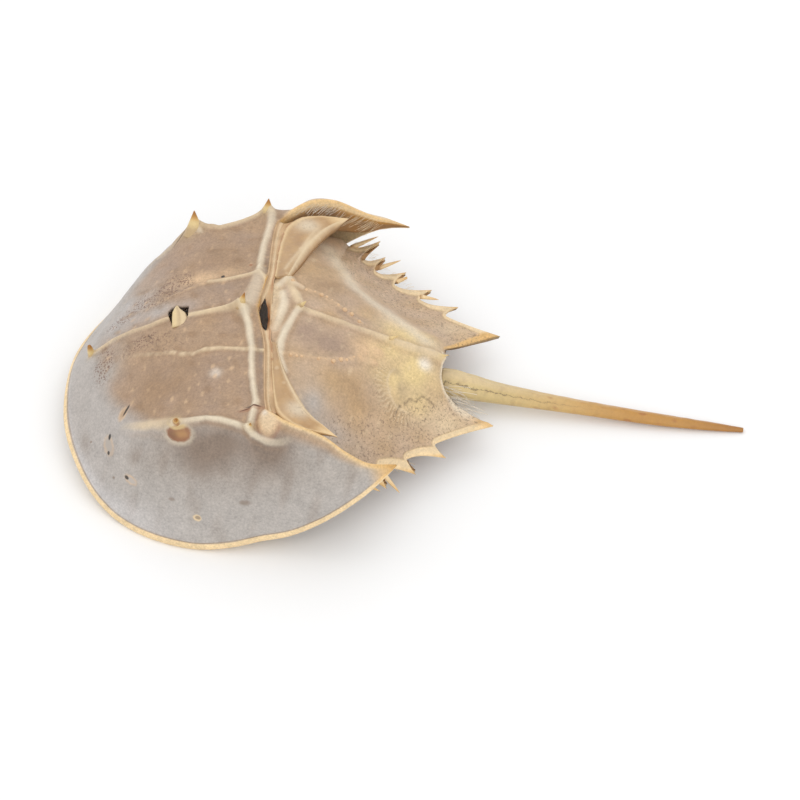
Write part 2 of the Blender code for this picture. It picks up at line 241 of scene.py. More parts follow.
def paintAreas(tint, x, y, areas, unevenness, size, seed):
    # soft oval areas of colour, a little uneven
    for (cx, cy), (rx, ry), colour, amount in areas:
        form = np.exp(-np.hypot((x-cx)/rx, (y-cy)/ry)**2.5)
        tint = tintOver(tint, colour, amount*form*(1+unevenness*blobNoise(x, y, size, seed)))
    return tint


frontShieldShape = {
    "centreX": 37.8,
    "wall": 0.95,
    "bead": 0.7,
    "flange": 5.0,
    "flankTurn": 0.42,
    "ribs": 401,
    "columns": ("angle", "reach", "rimLift", "borderX", "borderY", "borderLift",
                "shoulderIn", "bulgeLift", "shoulderLift", "middleLift", "wallDrop"),
    "table": (
        (0.0, 37.4, 5.0, 42.2, 0.0, 29.2, 6.5, 10.0, 14.2, 25.2, 2.6),
        (20.0, 38.4, 3.4, 43.2, 5.0, 29.0, 8.0, 7.4, 14.0, 25.2, 2.6),
        (32.0, 39.1, 2.4, 43.8, 8.0, 28.8, 9.0, 8.4, 15.8, 25.4, 2.8),
        (46.0, 40.2, 1.1, 44.2, 11.0, 28.5, 10.9, 10.8, 19.4, 26.2, 3.0),
        (56.0, 40.6, 0.3, 44.3, 14.0, 28.2, 13.0, 14.0, 23.1, 26.4, 3.2),
        (66.0, 40.9, 0.0, 44.4, 17.0, 27.9, 16.2, 16.4, 25.1, 26.9, 3.4),
        (80.0, 41.15, 0.0, 44.6, 21.5, 27.5, 14.9, 16.2, 25.6, 26.8, 4.2),
        (92.0, 41.3, 1.3, 45.2, 26.0, 27.2, 12.1, 16.6, 26.2, 26.8, 6.0),
        (100.0, 41.6, 2.9, 48.0, 28.6, 27.9, 10.6, 17.2, 26.7, 27.5, 8.0),
        (108.0, 43.2, 4.9, 52.5, 31.3, 28.3, 8.0, 18.8, 27.6, 28.1, 8.8),
        (114.0, 44.9, 7.8, 56.5, 32.5, 27.2, 6.8, 19.4, 26.5, 27.0, 8.6),
        (122.0, 46.9, 12.4, 61.7, 33.6, 23.4, 5.2, 19.0, 22.6, 23.1, 6.4),
        (129.0, 47.9, 16.0, 66.7, 34.0, 20.4, 2.9, 18.9, 20.0, 20.3, 2.4),
        (135.9, 48.0, 18.9, 72.2, 33.3, 19.4, 0.4, 19.2, 19.35, 19.38, 0.25),
    ),
    # raised lines: path, heights and half widths from start to end, colour and how strongly it lies on
    "lines": (
        {"path": ((6.4, -0.1), (11.4, 0.5), (14.5, 0.3), (17.2, 0.0), (20.0, -0.1), (23.4, 0.3)),
         "rise": (0.5, 0.7, 0.8), "width": (0.45, 0.5, 0.55), "tint": "cream", "amount": (0.9, 0.6, 0.7)},
        {"path": ((27.6, 0.4), (30.2, 0.4), (34.5, 0.3), (38.6, 0.0)),
         "rise": (0.35, 0.6, 1.2, 2.3), "width": (0.5, 0.6, 0.75, 1.0), "tint": "cream",
         "amount": (0.9, 0.9)},
        {"path": ((15.5, 5.9), (20.5, 6.3), (24.1, 7.3), (26.8, 8.2), (29.6, 9.1), (32.1, 9.4)),
         "rise": (0.0, 0.2, 0.3), "width": (0.25, 0.35, 0.4), "tint": "pinkCream", "amount": (0.1, 0.6, 0.7),
         "broken": 0.5},
        {"path": ((31.5, 9.4), (34.9, 9.5), (38.1, 9.8), (40.6, 10.2), (42.3, 10.1), (43.4, 8.8),
                  (43.9, 6.8), (43.7, 5.2)),
         "rise": (0.3, 0.6, 0.6), "width": (0.4, 0.5, 0.55), "tint": "cream", "amount": (0.8, 0.95)},
        {"path": ((14.5, -5.8), (19.2, -7.2), (21.8, -8.1), (24.4, -8.6), (27.0, -9.6), (29.3, -10.1),
                  (32.0, -9.4)),
         "rise": (0.0, 0.2, 0.25), "width": (0.3, 0.45, 0.5), "tint": "cream", "amount": (0.1, 0.6, 0.8),
         "broken": 0.45},
        {"path": ((31.5, -9.5), (34.8, -9.6), (38.2, -10.1), (41.5, -10.9), (43.9, -11.3)),
         "rise": (0.25, 0.35), "width": (0.45, 0.45), "tint": "cream", "amount": (0.8, 0.95),
         "broken": 0.15},
        {"path": ((14.5, -21.3), (20.0, -24.1), (24.0, -25.8), (26.9, -26.7)),
         "rise": (0.0, 0.5, 1.3), "width": (0.6, 0.85, 1.25), "tint": "cream", "amount": (0.0, 0.75, 0.55)},
        {"path": ((27.2, -26.7), (30.0, -26.5), (33.0, -26.5), (36.0, -27.2), (39.0, -28.3), (42.0, -29.8)),
         "rise": (0.8, 1.0, 1.0, 1.0, 1.3), "width": (0.6, 0.5, 0.5, 0.6), "tint": "paleBone",
         "amount": (0.5, 1.0, 1.0, 0.9)},
        {"path": ((14.5, 21.3), (20.0, 24.1), (24.0, 25.8), (26.9, 26.7)),
         "rise": (0.0, 0.4, 0.4), "width": (0.6, 0.8, 1.2), "tint": "cream", "amount": (0.0, 0.4, 0.3)},
        {"path": ((27.2, 26.7), (30.0, 26.5), (33.0, 26.5), (36.0, 27.2), (39.0, 28.3), (42.2, 29.8)),
         "rise": (0.4, 0.8, 0.9, 0.9, 0.6), "width": (1.0, 0.6, 0.5, 0.6), "tint": "cream",
         "amount": (0.3, 0.7, 0.8)},
        {"path": ((42.9, 30.4), (43.9, 28.6), (44.0, 26.5), (43.4, 23.3), (42.7, 19.1), (42.3, 15.2),
                  (42.2, 11.4)),
         "rise": (0.8, 0.8, 0.7), "width": (0.9, 0.75, 0.65), "tint": "paleBone", "amount": (0.7, 0.9)},
        {"path": ((42.2, 11.4), (41.9, 8.1), (41.2, 4.5), (40.2, 1.0), (39.7, -1.0)),
         "rise": (0.7, 0.8), "width": (1.0, 1.7, 1.4), "tint": "paleBone", "amount": (0.5, 0.5, 0.7)},
        {"path": ((39.7, -1.0), (39.9, -2.0), (40.5, -4.0), (41.0, -7.2), (41.5, -10.4), (41.5, -13.5),
                  (41.8, -16.9), (42.2, -20.1), (42.8, -23.7), (42.4, -26.5), (42.0, -29.4)),
         "rise": (0.8, 0.8, 0.9), "width": (0.75, 0.65, 0.65, 0.8), "tint": "paleBone",
         "amount": (0.95, 0.9)},
        {"path": ((41.7, -29.8), (42.5, -30.7), (43.7, -31.4), (45.4, -32.0), (47.6, -32.4), (51.3, -33.4)),
         "rise": (0.5, 0.45, 0.3, 0.0), "width": (0.5, 0.45, 0.5), "tint": "paleBone",
         "amount": (0.9, 0.8, 0.5, 0.0)},
    ),
    # thorns: root on the surface, tip, height and reach of the skirt that the shell draws up round it,
    # radius at the root, how dark the tip is, and the taper, below 1 for a blunt one
    "thorns": (
        {"root": (6.4, 0.1, 13.7), "tip": (6.1, 0.1, 16.9), "skirt": (0.7, 1.1), "radius": 0.95,
         "tipTint": 0.8, "taper": 0.4},
        {"root": (38.9, 0.0, 30.4), "tip": (39.8, 0.0, 33.5), "skirt": (1.2, 1.2), "radius": 1.25,
         "tipTint": 0.9, "taper": 1.0},
        {"root": (27.1, 26.9, 24.2), "tip": (27.4, 29.1, 27.9), "skirt": (3.0, 2.5), "radius": 2.5,
         "tipTint": 0.9, "taper": 1.0},
        {"root": (26.9, -26.9, 24.2), "tip": (27.1, -28.7, 27.4), "skirt": (1.4, 1.4), "radius": 1.25,
         "tipTint": 0.9, "taper": 0.8},
        {"root": (42.8, 30.0, 26.4), "tip": (43.4, 31.2, 29.6), "skirt": (2.3, 1.8), "radius": 2.0,
         "tipTint": 0.9, "taper": 1.0},
        {"root": (41.9, -29.8, 26.4), "tip": (42.1, -31.0, 29.2), "skirt": (1.0, 1.0), "radius": 0.75,
         "tipTint": 0.7, "taper": 0.9},
    ),
    # soft areas of colour: centre and reach in plan, colour, strength
    "areas": (
        ((26.0, -16.5), (11.0, 7.0), "brownTan", 0.75),
        ((34.0, -18.0), (7.0, 6.0), "mauve", 0.45),
        ((24.0, -5.0), (14.0, 4.0), "tan", 0.6),
        ((33.0, 16.5), (10.0, 5.5), "brownTan", 0.55),
        ((22.0, 20.0), (8.0, 6.0), "mauve", 0.75),
        ((34.0, 5.0), (9.0, 3.5), "mauve", 0.6),
        ((20.0, 3.4), (9.0, 2.4), "lavender", 0.55),
        ((34.0, 8.0), (8.0, 1.5), "flankShade", 0.25),
        ((11.0, 9.0), (8.0, 9.0), "lavender", 0.9),
        ((9.0, -7.0), (5.0, 6.0), "flankGrey", 0.75),
        ((14.0, -15.0), (5.0, 6.0), "mauve", 0.35),
        # painted highlight: pink-cream streak along the far furrow
        ((31.5, 11.0), (6.5, 1.9), "pinkCream", 0.7),
        # painted highlight beside the front thorn
        ((7.6, 0.2), (1.0, 0.6), "glint", 0.6),
        ((43.6, 13.0), (0.9, 5.0), "flankShade", 0.75),
        ((43.6, 22.0), (0.6, 5.0), "mauve", 0.5),
        ((43.2, -11.5), (0.9, 3.4), "flankShade", 0.8),
        ((43.6, -18.0), (0.8, 5.0), "flankShade", 0.7),
        # painted highlight on the near side of the shield
        ((34.3, -15.9), (1.3, 1.2), "glint", 0.45),
    ),
    "eye": {"centre": (27.4, 28.7, 23.0), "halfLong": 2.4, "halfWide": 1.9, "rise": 0.45},
    # the swollen knob where the left flank meets the hinge: centre, reach and rise
    "knob": ((45.8, -28.6), (2.3, 2.9)),
    "knobRise": 1.2,
    "hole": ((23.2, 2.4), (23.8, 3.3), (24.8, 3.9), (26.2, 3.4), (27.7, 3.2), (27.6, 1.6), (27.7, 0.2),
             (26.8, -1.6), (25.4, -2.1), (24.4, -1.4), (23.6, 0.6)),
    # the torn flap in the hole, each edge from its root to the point
    "flapEdges": (((24.5, -2.5), (24.3, 0.2), (24.3, 1.6), (24.6, 2.8), (24.9, 3.8)),
                  ((27.6, -1.7), (27.6, -0.1), (27.0, 1.6), (25.7, 2.9), (25.2, 3.8))),
}


# what a point of a rib's ring is part of
topSide, rearFace, inside, underRim = range(4)


def ribLines(shape):
    # ribs run from the rim in to the border with the hinge, and are counted by their angle from the front
    lastAngle = shape["table"][-1][0]
    angles = lastAngle*np.linspace(-1, 1, shape["ribs"])
    rib = columnsAt(shape["table"], shape["columns"], np.abs(angles))
    turn = np.radians(np.abs(angles))
    rim = np.stack((shape["centreX"]-rib["reach"]*np.cos(turn), rib["reach"]*np.sin(turn)), -1)
    border = np.stack((rib["borderX"], rib["borderY"]), -1)
    length = np.linalg.norm(border-rim, axis=1)
    inward = (border-rim)/length[:, None]
    return angles, rib, rim, border, length, inward


def frontRings(shape):
    # one closed ring of points for each rib, with how far in each lies and what it is part of
    angles, rib, rim, border, length, inward = ribLines(shape)
    edge = np.array((0, 0.05, 0.1, 0.15, 0.2, 0.26, 0.33, 0.4, 0.5, 0.6, 0.75, 0.9, 1.1, 1.35, 1.65, 2.0))
    rings, depth, zones = [], [], []
    for i in range(len(angles)):
        span = length[i]
        wall = min(shape["wall"], 0.2*span+0.05)
        bead = min(shape["bead"], 0.16*span+0.06)
        shoulder = rib["shoulderIn"][i]
        reach = (0, shape["flankTurn"]*shoulder, shoulder, 0.5*(shoulder+span), span)
        floor = rib["rimLift"][i]
        high = rib["borderLift"][i]
        lift = (floor+2*bead, rib["bulgeLift"][i], rib["shoulderLift"][i], rib["middleLift"][i], high)
        start = edge*min(1.0, span/16.0)
        along = np.concatenate((start, np.linspace(start[-1], span, 140)[1:]))
        top = smoothThrough(reach, lift, along)
        slope = np.gradient(top, along)
        normal = np.stack((-slope, np.ones_like(slope)), -1)
        normal /= np.linalg.norm(normal, axis=1)[:, None]
        inner = np.stack((along, top), -1)-wall*normal
        inner = inner[(inner[:, 0] > 2.2*bead) & (inner[:, 0] < span-1.6*wall)]
        if len(inner) > 1:
            picks = np.linspace(0, len(inner)-1, 40)
            inner = np.stack([np.interp(picks, np.arange(len(inner)), inner[:, k]) for k in (0, 1)], -1)
        else:
            inner = np.stack((np.linspace(2*bead, span-wall, 40), np.full(40, 0.5*(floor+high))), -1)
        drop = rib["wallDrop"][i]
        down = np.linspace(0, 1, 15)[1:]
        face = np.stack((span+0.25*np.sin(down*math.pi)*min(1, drop/4), high-drop*down), -1)
        back = np.array(((span-0.5*wall, high-drop-0.1*wall),
                         (span-wall, high-drop+0.15*wall),
                         (span-wall, min(high-0.5*drop, inner[-1, 1]-0.02))))
        shelf = min(wall, 0.6*(inner[0, 1]-floor))
        flange = min(shape["flange"], 0.42*shoulder)
        base = np.array(((max(flange*0.9, 2.2*bead), floor+shelf),
                         (max(flange, 2.3*bead), floor+0.5*shelf),
                         (max(flange*0.9, 2.2*bead), floor),
                         (bead, floor),
                         (0.5*bead, floor+0.08*bead),
                         (0.2*bead, floor+0.3*bead),
                         (0.0, floor+0.65*bead),
                         (-0.06*bead, floor+bead),
                         (-0.05*bead, floor+1.5*bead)))
        section = np.concatenate((np.stack((along, top), -1), face, back, inner[::-1], base))
        parts = ((topSide, along), (rearFace, face), (inside, back), (inside, inner), (underRim, base))
        zone = np.concatenate([np.full(len(points), part) for part, points in parts])
        spots = rim[i]+section[:, :1]*inward[i]
        side = math.copysign(1, angles[i])
        rings.append(np.column_stack((spots[:, 0], side*spots[:, 1], section[:, 1])))
        depth.append(section[:, 0])
        zones.append(zone)
    return np.array(rings), np.array(depth), zones[0], angles, rib, length


def arcFrom(spots):
    # length walked along each row of points from its first
    step = np.linalg.norm(np.diff(spots, axis=1), axis=2)
    return np.concatenate((np.zeros((len(spots), 1)), np.cumsum(step, axis=1)), axis=1)


def gridNormals(spots):
    normal = np.cross(np.gradient(spots, axis=1), np.gradient(spots, axis=0))
    return normal/np.maximum(np.linalg.norm(normal, axis=2), 1e-9)[..., None]


def alongValues(values, along):
    return np.interp(along, np.linspace(0, 1, len(values)), values)


def raiseLines(x, y, lines):
    # relief of ridges and bands, and the colours that lie on them
    rise = np.zeros(x.shape)
    tints = []
    for number, line in enumerate(lines):
        gap, along = nearPath(x, y, line["path"])
        width = alongValues(line["width"], along)*(1+0.12*blobNoise(x, y, 5.0, 40+number))
        strength = alongValues(line["amount"], along)
        if "broken" in line:
            strength = strength*np.clip(1-line["broken"]*(1+blobNoise(x, y, 1.6, 60+number)), 0, 1)
        rise += alongValues(line["rise"], along)*np.exp(-(gap/width)**2)
        # browner along both sides of each line: painted shade and dirt in the creases beside it
        tints.append(("brownTan", 0.32*strength*np.exp(-((gap-1.9*width)/(0.6*width))**2)))
        tints.append((line["tint"], strength*np.exp(-(gap/(1.05*width))**4)))
    return rise, tints


def drawSkirts(spots, thorns, onTop):
    # pulls the shell up round each thorn, and returns how near each point is to one
    nearness = np.zeros(spots.shape[:2])
    for thorn in thorns:
        root, tip = np.array(thorn["root"]), np.array(thorn["tip"])
        way = (tip-root)/np.linalg.norm(tip-root)
        height, reach = thorn["skirt"]
        offset = spots-root
        lift = offset @ way
        gap = np.linalg.norm(offset-lift[..., None]*way, axis=2)
        form = np.exp(-np.sqrt(gap**2+0.05)/reach)*(np.abs(lift) < 6)*easeStep(6.0, 4.0, gap)*onTop
        spots += (height*form)[..., None]*way
        nearness = np.maximum(nearness, np.exp(-(gap/(0.9*reach))**2)*(np.abs(lift) < 6)*onTop)
    return nearness


def buildFrontShield(shape):
    rings, depth, zones, angles, rib, length = frontRings(shape)

    def byAngle(low, high):
        # 0 to 1 for each rib as its angle from the front goes from low to high
        return easeStep(low, high, np.abs(angles))[:, None]

    count = int(np.sum(zones == topSide))
    top = rings[:, :count]
    x, y = top[..., 0], top[..., 1]
    span = length[:, None]
    arc = arcFrom(top)
    rise, tints = raiseLines(x, y, shape["lines"])
    rise *= np.clip(span/12.0, 0, 1)*easeStep(0.8, 2.5, depth[:, :count])
    gapToBorder = span-depth[:, :count]
    onWing = byAngle(95, 104)
    rise += 0.35*onWing*np.clip(span/8, 0, 1)*np.exp(-((gapToBorder-0.5)/0.6)**2)
    arcIn = arc/(1+0.5*byAngle(65, 25))
    rise -= 0.16*np.exp(-((arcIn-0.72)/0.2)**2)*np.clip(span/6, 0, 1)
    rise += 0.07*blobNoise(x, y, 7.0, 2)*easeStep(2, 6, arc)*np.clip(span/12, 0, 1)
    eye = shape["eye"]
    for side in (-1, 1):
        offset = top-np.array(eye["centre"])*(1, side, 1)
        lengthwise = offset[..., 0]/eye["halfLong"]
        across = np.hypot(offset[..., 1], offset[..., 2])/eye["halfWide"]
        rise += eye["rise"]*np.exp(-lengthwise**4-across**4)
    (knobX, knobY), (knobLong, knobWide) = shape["knob"]
    knob = np.hypot((x-knobX)/knobLong, (y-knobY)/knobWide)
    rise += shape["knobRise"]*np.exp(-knob**5)
    moved = top+rise[..., None]*gridNormals(top)
    thornNear = drawSkirts(moved, shape["thorns"], easeStep(0.8, 2.0, arc))
    shift = moved[:, -1]-top[:, -1]
    rings[:, :count] = moved
    onFace = zones == rearFace
    fall = np.linspace(1, 0, int(np.sum(onFace)))
    rings[:, onFace] += shift[:, None]*fall[None, :, None]

    inFromRim = depth[:, :count]/np.maximum(rib["shoulderIn"][:, None], 0.5)
    front = byAngle(62, 35)
    flank = 1-easeStep(0.8+0.1*front, 1.05+0.35*front, inFromRim)
    tint = np.ones(x.shape+(3,))*palette["tan"]
    tint = tintOver(tint, "mauve", 0.35+0.35*blobNoise(x, y, 9, 3))
    tint = paintAreas(tint, x, y, shape["areas"], 0.35, 6, 9)
    tint = tintOver(tint, "warmBrown", 0.45*easeStep(0.2, 1.4, blobNoise(x, y, 4, 8)))
    tint = tintOver(tint, "pinkCream", 0.5*easeStep(0.6, 1.6, blobNoise(x, y, 2, 18)))
    tint = tintOver(tint, "warmBrown", 0.35*easeStep(0.7, 1.6, blobNoise(x, y, 1.6, 28)))
    tint = tintOver(tint, "flankGrey", flank)
    # painted light and shade of the thin see-through flank: paler near the rim and darker under the ridges
    # at the sides
    tint = tintOver(tint, "flankLight", flank*easeStep(0.6, 0.05, inFromRim)*0.6)
    under = easeStep(0.2, 0.8, inFromRim)*byAngle(48, 70)*byAngle(115, 100)
    tint = tintOver(tint, "flankShade", flank*under*0.95*(1+0.3*blobNoise(x, y, 8, 33)))
    tint = tintOver(tint, "flankShade", flank*0.3*easeStep(0.2, 1.4, blobNoise(x, y, 4, 34)))
    tint = tintOver(tint, "lavender", flank*front*0.6)
    # painted highlight: a pale sheen band just inside the rim on the front of the flank
    rimSheenBand = easeStep(0.24, 0.04, inFromRim)*byAngle(85, 50)
    tint = tintOver(tint, "rimSheen", 0.7*flank*rimSheenBand)
    # the knob: pink-cream with an orange-brown ring that is partly its colour and partly painted shade in
    # the crease round it, and a painted highlight at its upper left
    tint = tintOver(tint, "pinkCream", 0.85*easeStep(1.15, 0.8, knob))
    tint = tintOver(tint, "cream", 0.6*easeStep(1.0, 0.5, knob))
    tint = tintOver(tint, "rust", 0.35*np.exp(-((knob-1.12)/0.12)**2))
    tint = tintOver(tint, "glint", 0.5*np.exp(-np.hypot((x-44.8)/0.7, (y+27.2)/0.9)**2))
    for colour, amount in tints:
        tint = tintOver(tint, colour, amount)
    tint = tintOver(tint, "yellowHorn", 0.4*thornNear)
    crestWidth = np.where(angles > 0, 1.15+1.4*easeStep(114, 126, angles), 0.8)[:, None]
    tint = tintOver(tint, "cream", 0.45*onWing*np.exp(-(gapToBorder/(1.7*crestWidth))**2))
    tint = tintOver(tint, "gold", onWing*np.exp(-(gapToBorder/crestWidth)**4)*0.95)
    tint = tintOver(tint, "orangeGold", onWing*np.exp(-(gapToBorder/(0.8*crestWidth))**4)*0.6)
    joint = (1-onWing)*np.exp(-(gapToBorder/0.35)**2)
    tint = tintOver(tint, "orangeGold", joint*0.45)
    tint = tintOver(tint, "gold", 1-easeStep(0.5, 0.62, arcIn))
    # browner along the groove inside the rim band: painted shade in the hollow
    groove = np.exp(-((arcIn-0.7)/0.12)**2)*easeStep(0.3, 1.2, np.clip(span/6, 0, 2))
    tint = tintOver(tint, "warmBrown", 0.7*groove)
    tint = tintOver(tint, "orangeGold", byAngle(127, 133)*np.ones_like(x)*0.8)
    tint = tintOver(tint, "deepGold", 0.7*byAngle(132.5, 135.7)*np.ones_like(x))

    # every face but the top starts dark brown: painted shade inside the hollow shell
    full = np.ones(rings.shape)*palette["insideShade"]
    full[:, :count] = tint
    wingWall = onFace*(byAngle(94, 102)*np.ones(rings.shape[:2]))
    full = np.where(onFace[None, :, None], palette["orangeGold"], full)
    full = tintOver(full, "wingBrown", wingWall)
    full = tintOver(full, "warmBrown", wingWall*0.5*(1+blobNoise(rings[..., 0], rings[..., 1], 4, 6)))
    wallFall = np.zeros(len(zones))
    wallFall[onFace] = fall[::-1]
    goldReach = 0.3+0.25*byAngle(112, 127)
    full = tintOver(full, "deepGold", 0.6*wingWall*easeStep(0.0, -0.3, wallFall[None]-goldReach))
    full = tintOver(full, "gold", wingWall*easeStep(0.2, 0.05, wallFall)[None])
    byHinge = byAngle(94, 98)*byAngle(110, 103)
    # painted shade: the rear wall near the hinge is darkened towards its foot, in the gap before the corner
    # flaps
    full = tintOver(full, "darkBrown", 0.85*onFace*byHinge*easeStep(0.2, 0.5, wallFall)[None])
    full = tintOver(full, "rearTan", (zones == inside)*byAngle(100, 106))
    full = np.where((zones == underRim)[None, :, None], palette["gold"], full)
    masks = np.zeros(rings.shape)
    masks[:, :count, 0] = poreZones(x, y)
    masks[:, :count, 1] = wrinkleZones(x, y)*(1-flank)
    masks[:, :count, 2] = np.clip(sum(a for c, a in tints if c != "brownTan"), 0, 1)
    return ringMesh("frontShield", rings, full, masks)


def softZones(x, y, zones):
    total = np.zeros(x.shape)
    for (cx, cy), (rx, ry) in zones:
        total = np.maximum(total, easeStep(1.3, 0.6, np.hypot((x-cx)/rx, (y-cy)/ry)))
    return total


def poreZones(x, y):
    # where the shell is pitted: by the front thorn and along the far furrow
    return softZones(x, y, (((9.8, -5.0), (2.2, 4.6)), ((19.0, 8.8), (6.0, 3.2)), ((24.5, 11.0), (4.2, 3.4)),
                            ((12.0, 5.5), (3.0, 2.0)), ((19.0, -3.6), (5.0, 1.6))))


def wrinkleZones(x, y):
    return softZones(x, y, (((18.0, -4.5), (7.0, 2.0)), ((24.0, -6.2), (5.0, 2.2)),
                            ((20.0, 7.5), (7.0, 3.0)), ((26.0, 27.0), (3.4, 2.0))))


def cutHole(shell, outline, lowest):
    # a torn hole through the wall: drops the faces inside the outline and joins both skins round it
    ring = place([(px, py, 26.0) for px, py in outline])[:, :2]
    after = np.roll(ring, -1, axis=0)
    form = bmesh.new()
    form.from_mesh(shell.data)
    low, high = ring.min(axis=0), ring.max(axis=0)
    doomed = []
    for face in form.faces:
        c = face.calc_center_median()
        if c.z < lowest or not (low[0] < c.x < high[0] and low[1] < c.y < high[1]):
            continue
        crossed = (ring[:, 1] > c.y) != (after[:, 1] > c.y)
        at = ring[:, 0]+(c.y-ring[:, 1])*(after[:, 0]-ring[:, 0])/(after[:, 1]-ring[:, 1]+1e-12)
        if np.sum(crossed & (c.x < at)) % 2:
            doomed.append(face)
    bmesh.ops.delete(form, geom=doomed, context="FACES")
    torn = [edge for edge in form.edges if edge.is_boundary]
    for vert in {v for edge in torn for v in edge.verts}:
        spot = np.array(vert.co[:2])
        way = after-ring
        t = np.clip(np.sum((spot-ring)*way, axis=1)/np.sum(way*way, axis=1), 0, 1)
        near = ring+t[:, None]*way
        vert.co.x, vert.co.y = near[np.argmin(np.linalg.norm(near-spot, axis=1))]
    bmesh.ops.bridge_loops(form, edges=torn)
    bmesh.ops.recalc_face_normals(form, faces=form.faces[:])
    form.to_mesh(shell.data)
    form.free()


def surfaceTree(item):
    mesh = item.data
    return BVHTree.FromPolygons([v.co for v in mesh.vertices], [tuple(p.vertices) for p in mesh.polygons])


def topSpot(tree, x, y, lift=25.0):
    # the place on the surface above a spot of the tables, and its outward direction
    for _ in range(3):
        above = place((x, y, lift))
        spot, normal, _, _ = tree.ray_cast(Vector((above[0], above[1], 0.1)), Vector((0, 0, -1)))
        lift = spot.z/layout["mm"]
    return spot, normal


def buildFlap(shape, tree):
    # the torn tongue of shell that still hangs in the hole
    left, right = (np.array(edge) for edge in shape["flapEdges"])
    rows, columns = 17, 9
    at = np.linspace(0, 1, rows)
    knots = np.linspace(0, 1, len(left))
    sides = [np.stack([np.interp(at, knots, edge[:, k]) for k in (0, 1)], -1) for edge in (left, right)]
    across = np.linspace(0, 1, columns)
    plan = sides[0][:, None]*(1-across)[None, :, None]+sides[1][:, None]*across[None, :, None]
    rootLift = 0.5*(topSpot(tree, *left[0])[0].z+topSpot(tree, *right[0])[0].z)/layout["mm"]
    tipLift = topSpot(tree, left[-1][0], left[-1][1]+0.6)[0].z/layout["mm"]
    bow = 0.5*np.sin(at*math.pi)[:, None]*(1-0.9*np.abs(across-0.4)/0.6)[None]
    lift = (rootLift+(tipLift+0.1-rootLift)*at)[:, None]+bow+0.06
    top = np.concatenate((plan, lift[..., None]), axis=2)
    low = top-np.array((0, 0, 0.28))
    rings = np.concatenate((top, low[:, ::-1]), axis=1)
    both = np.concatenate((across, across[::-1]))[None]*np.ones((rows, 2*columns))
    tint = np.ones(rings.shape)*palette["cream"]
    tint = tintOver(tint, "yellowHorn", 0.7*(1-both))
    tint = tintOver(tint, "brownTan", 0.5*np.exp(-((both-0.45)/0.1)**2))
    return ringMesh("tornFlap", rings, tint)


def buildThorn(name, thorn):
    # the sharp end of a thorn, standing in the skirt of shell
    root, tip = np.array(thorn["root"], float), np.array(thorn["tip"], float)
    rootDepth = 0.3        # how far it starts inside the shell, as a part of its length
    sides, steps = 18, 20
    t = np.linspace(0, 1, steps)
    size = thorn["radius"]*(0.04+0.96*(1-t)**thorn["taper"])
    rings = spikeRings(root-rootDepth*(tip-root), tip, size, sides, (1.0, 0.02, 0.0))
    up = t[:, None]*np.ones((steps, sides))
    tint = np.ones(rings.shape)*palette["tan"]
    tint = tintOver(tint, "yellowHorn", 0.35+0.65*easeStep(0.25, 0.55, up))
    tint = tintOver(tint, "deepGold", thorn["tipTint"]*easeStep(0.55, 0.82, up))
    tint = tintOver(tint, "amber", thorn["tipTint"]*easeStep(0.7, 0.94, up))
    return ringMesh(name, rings, tint)


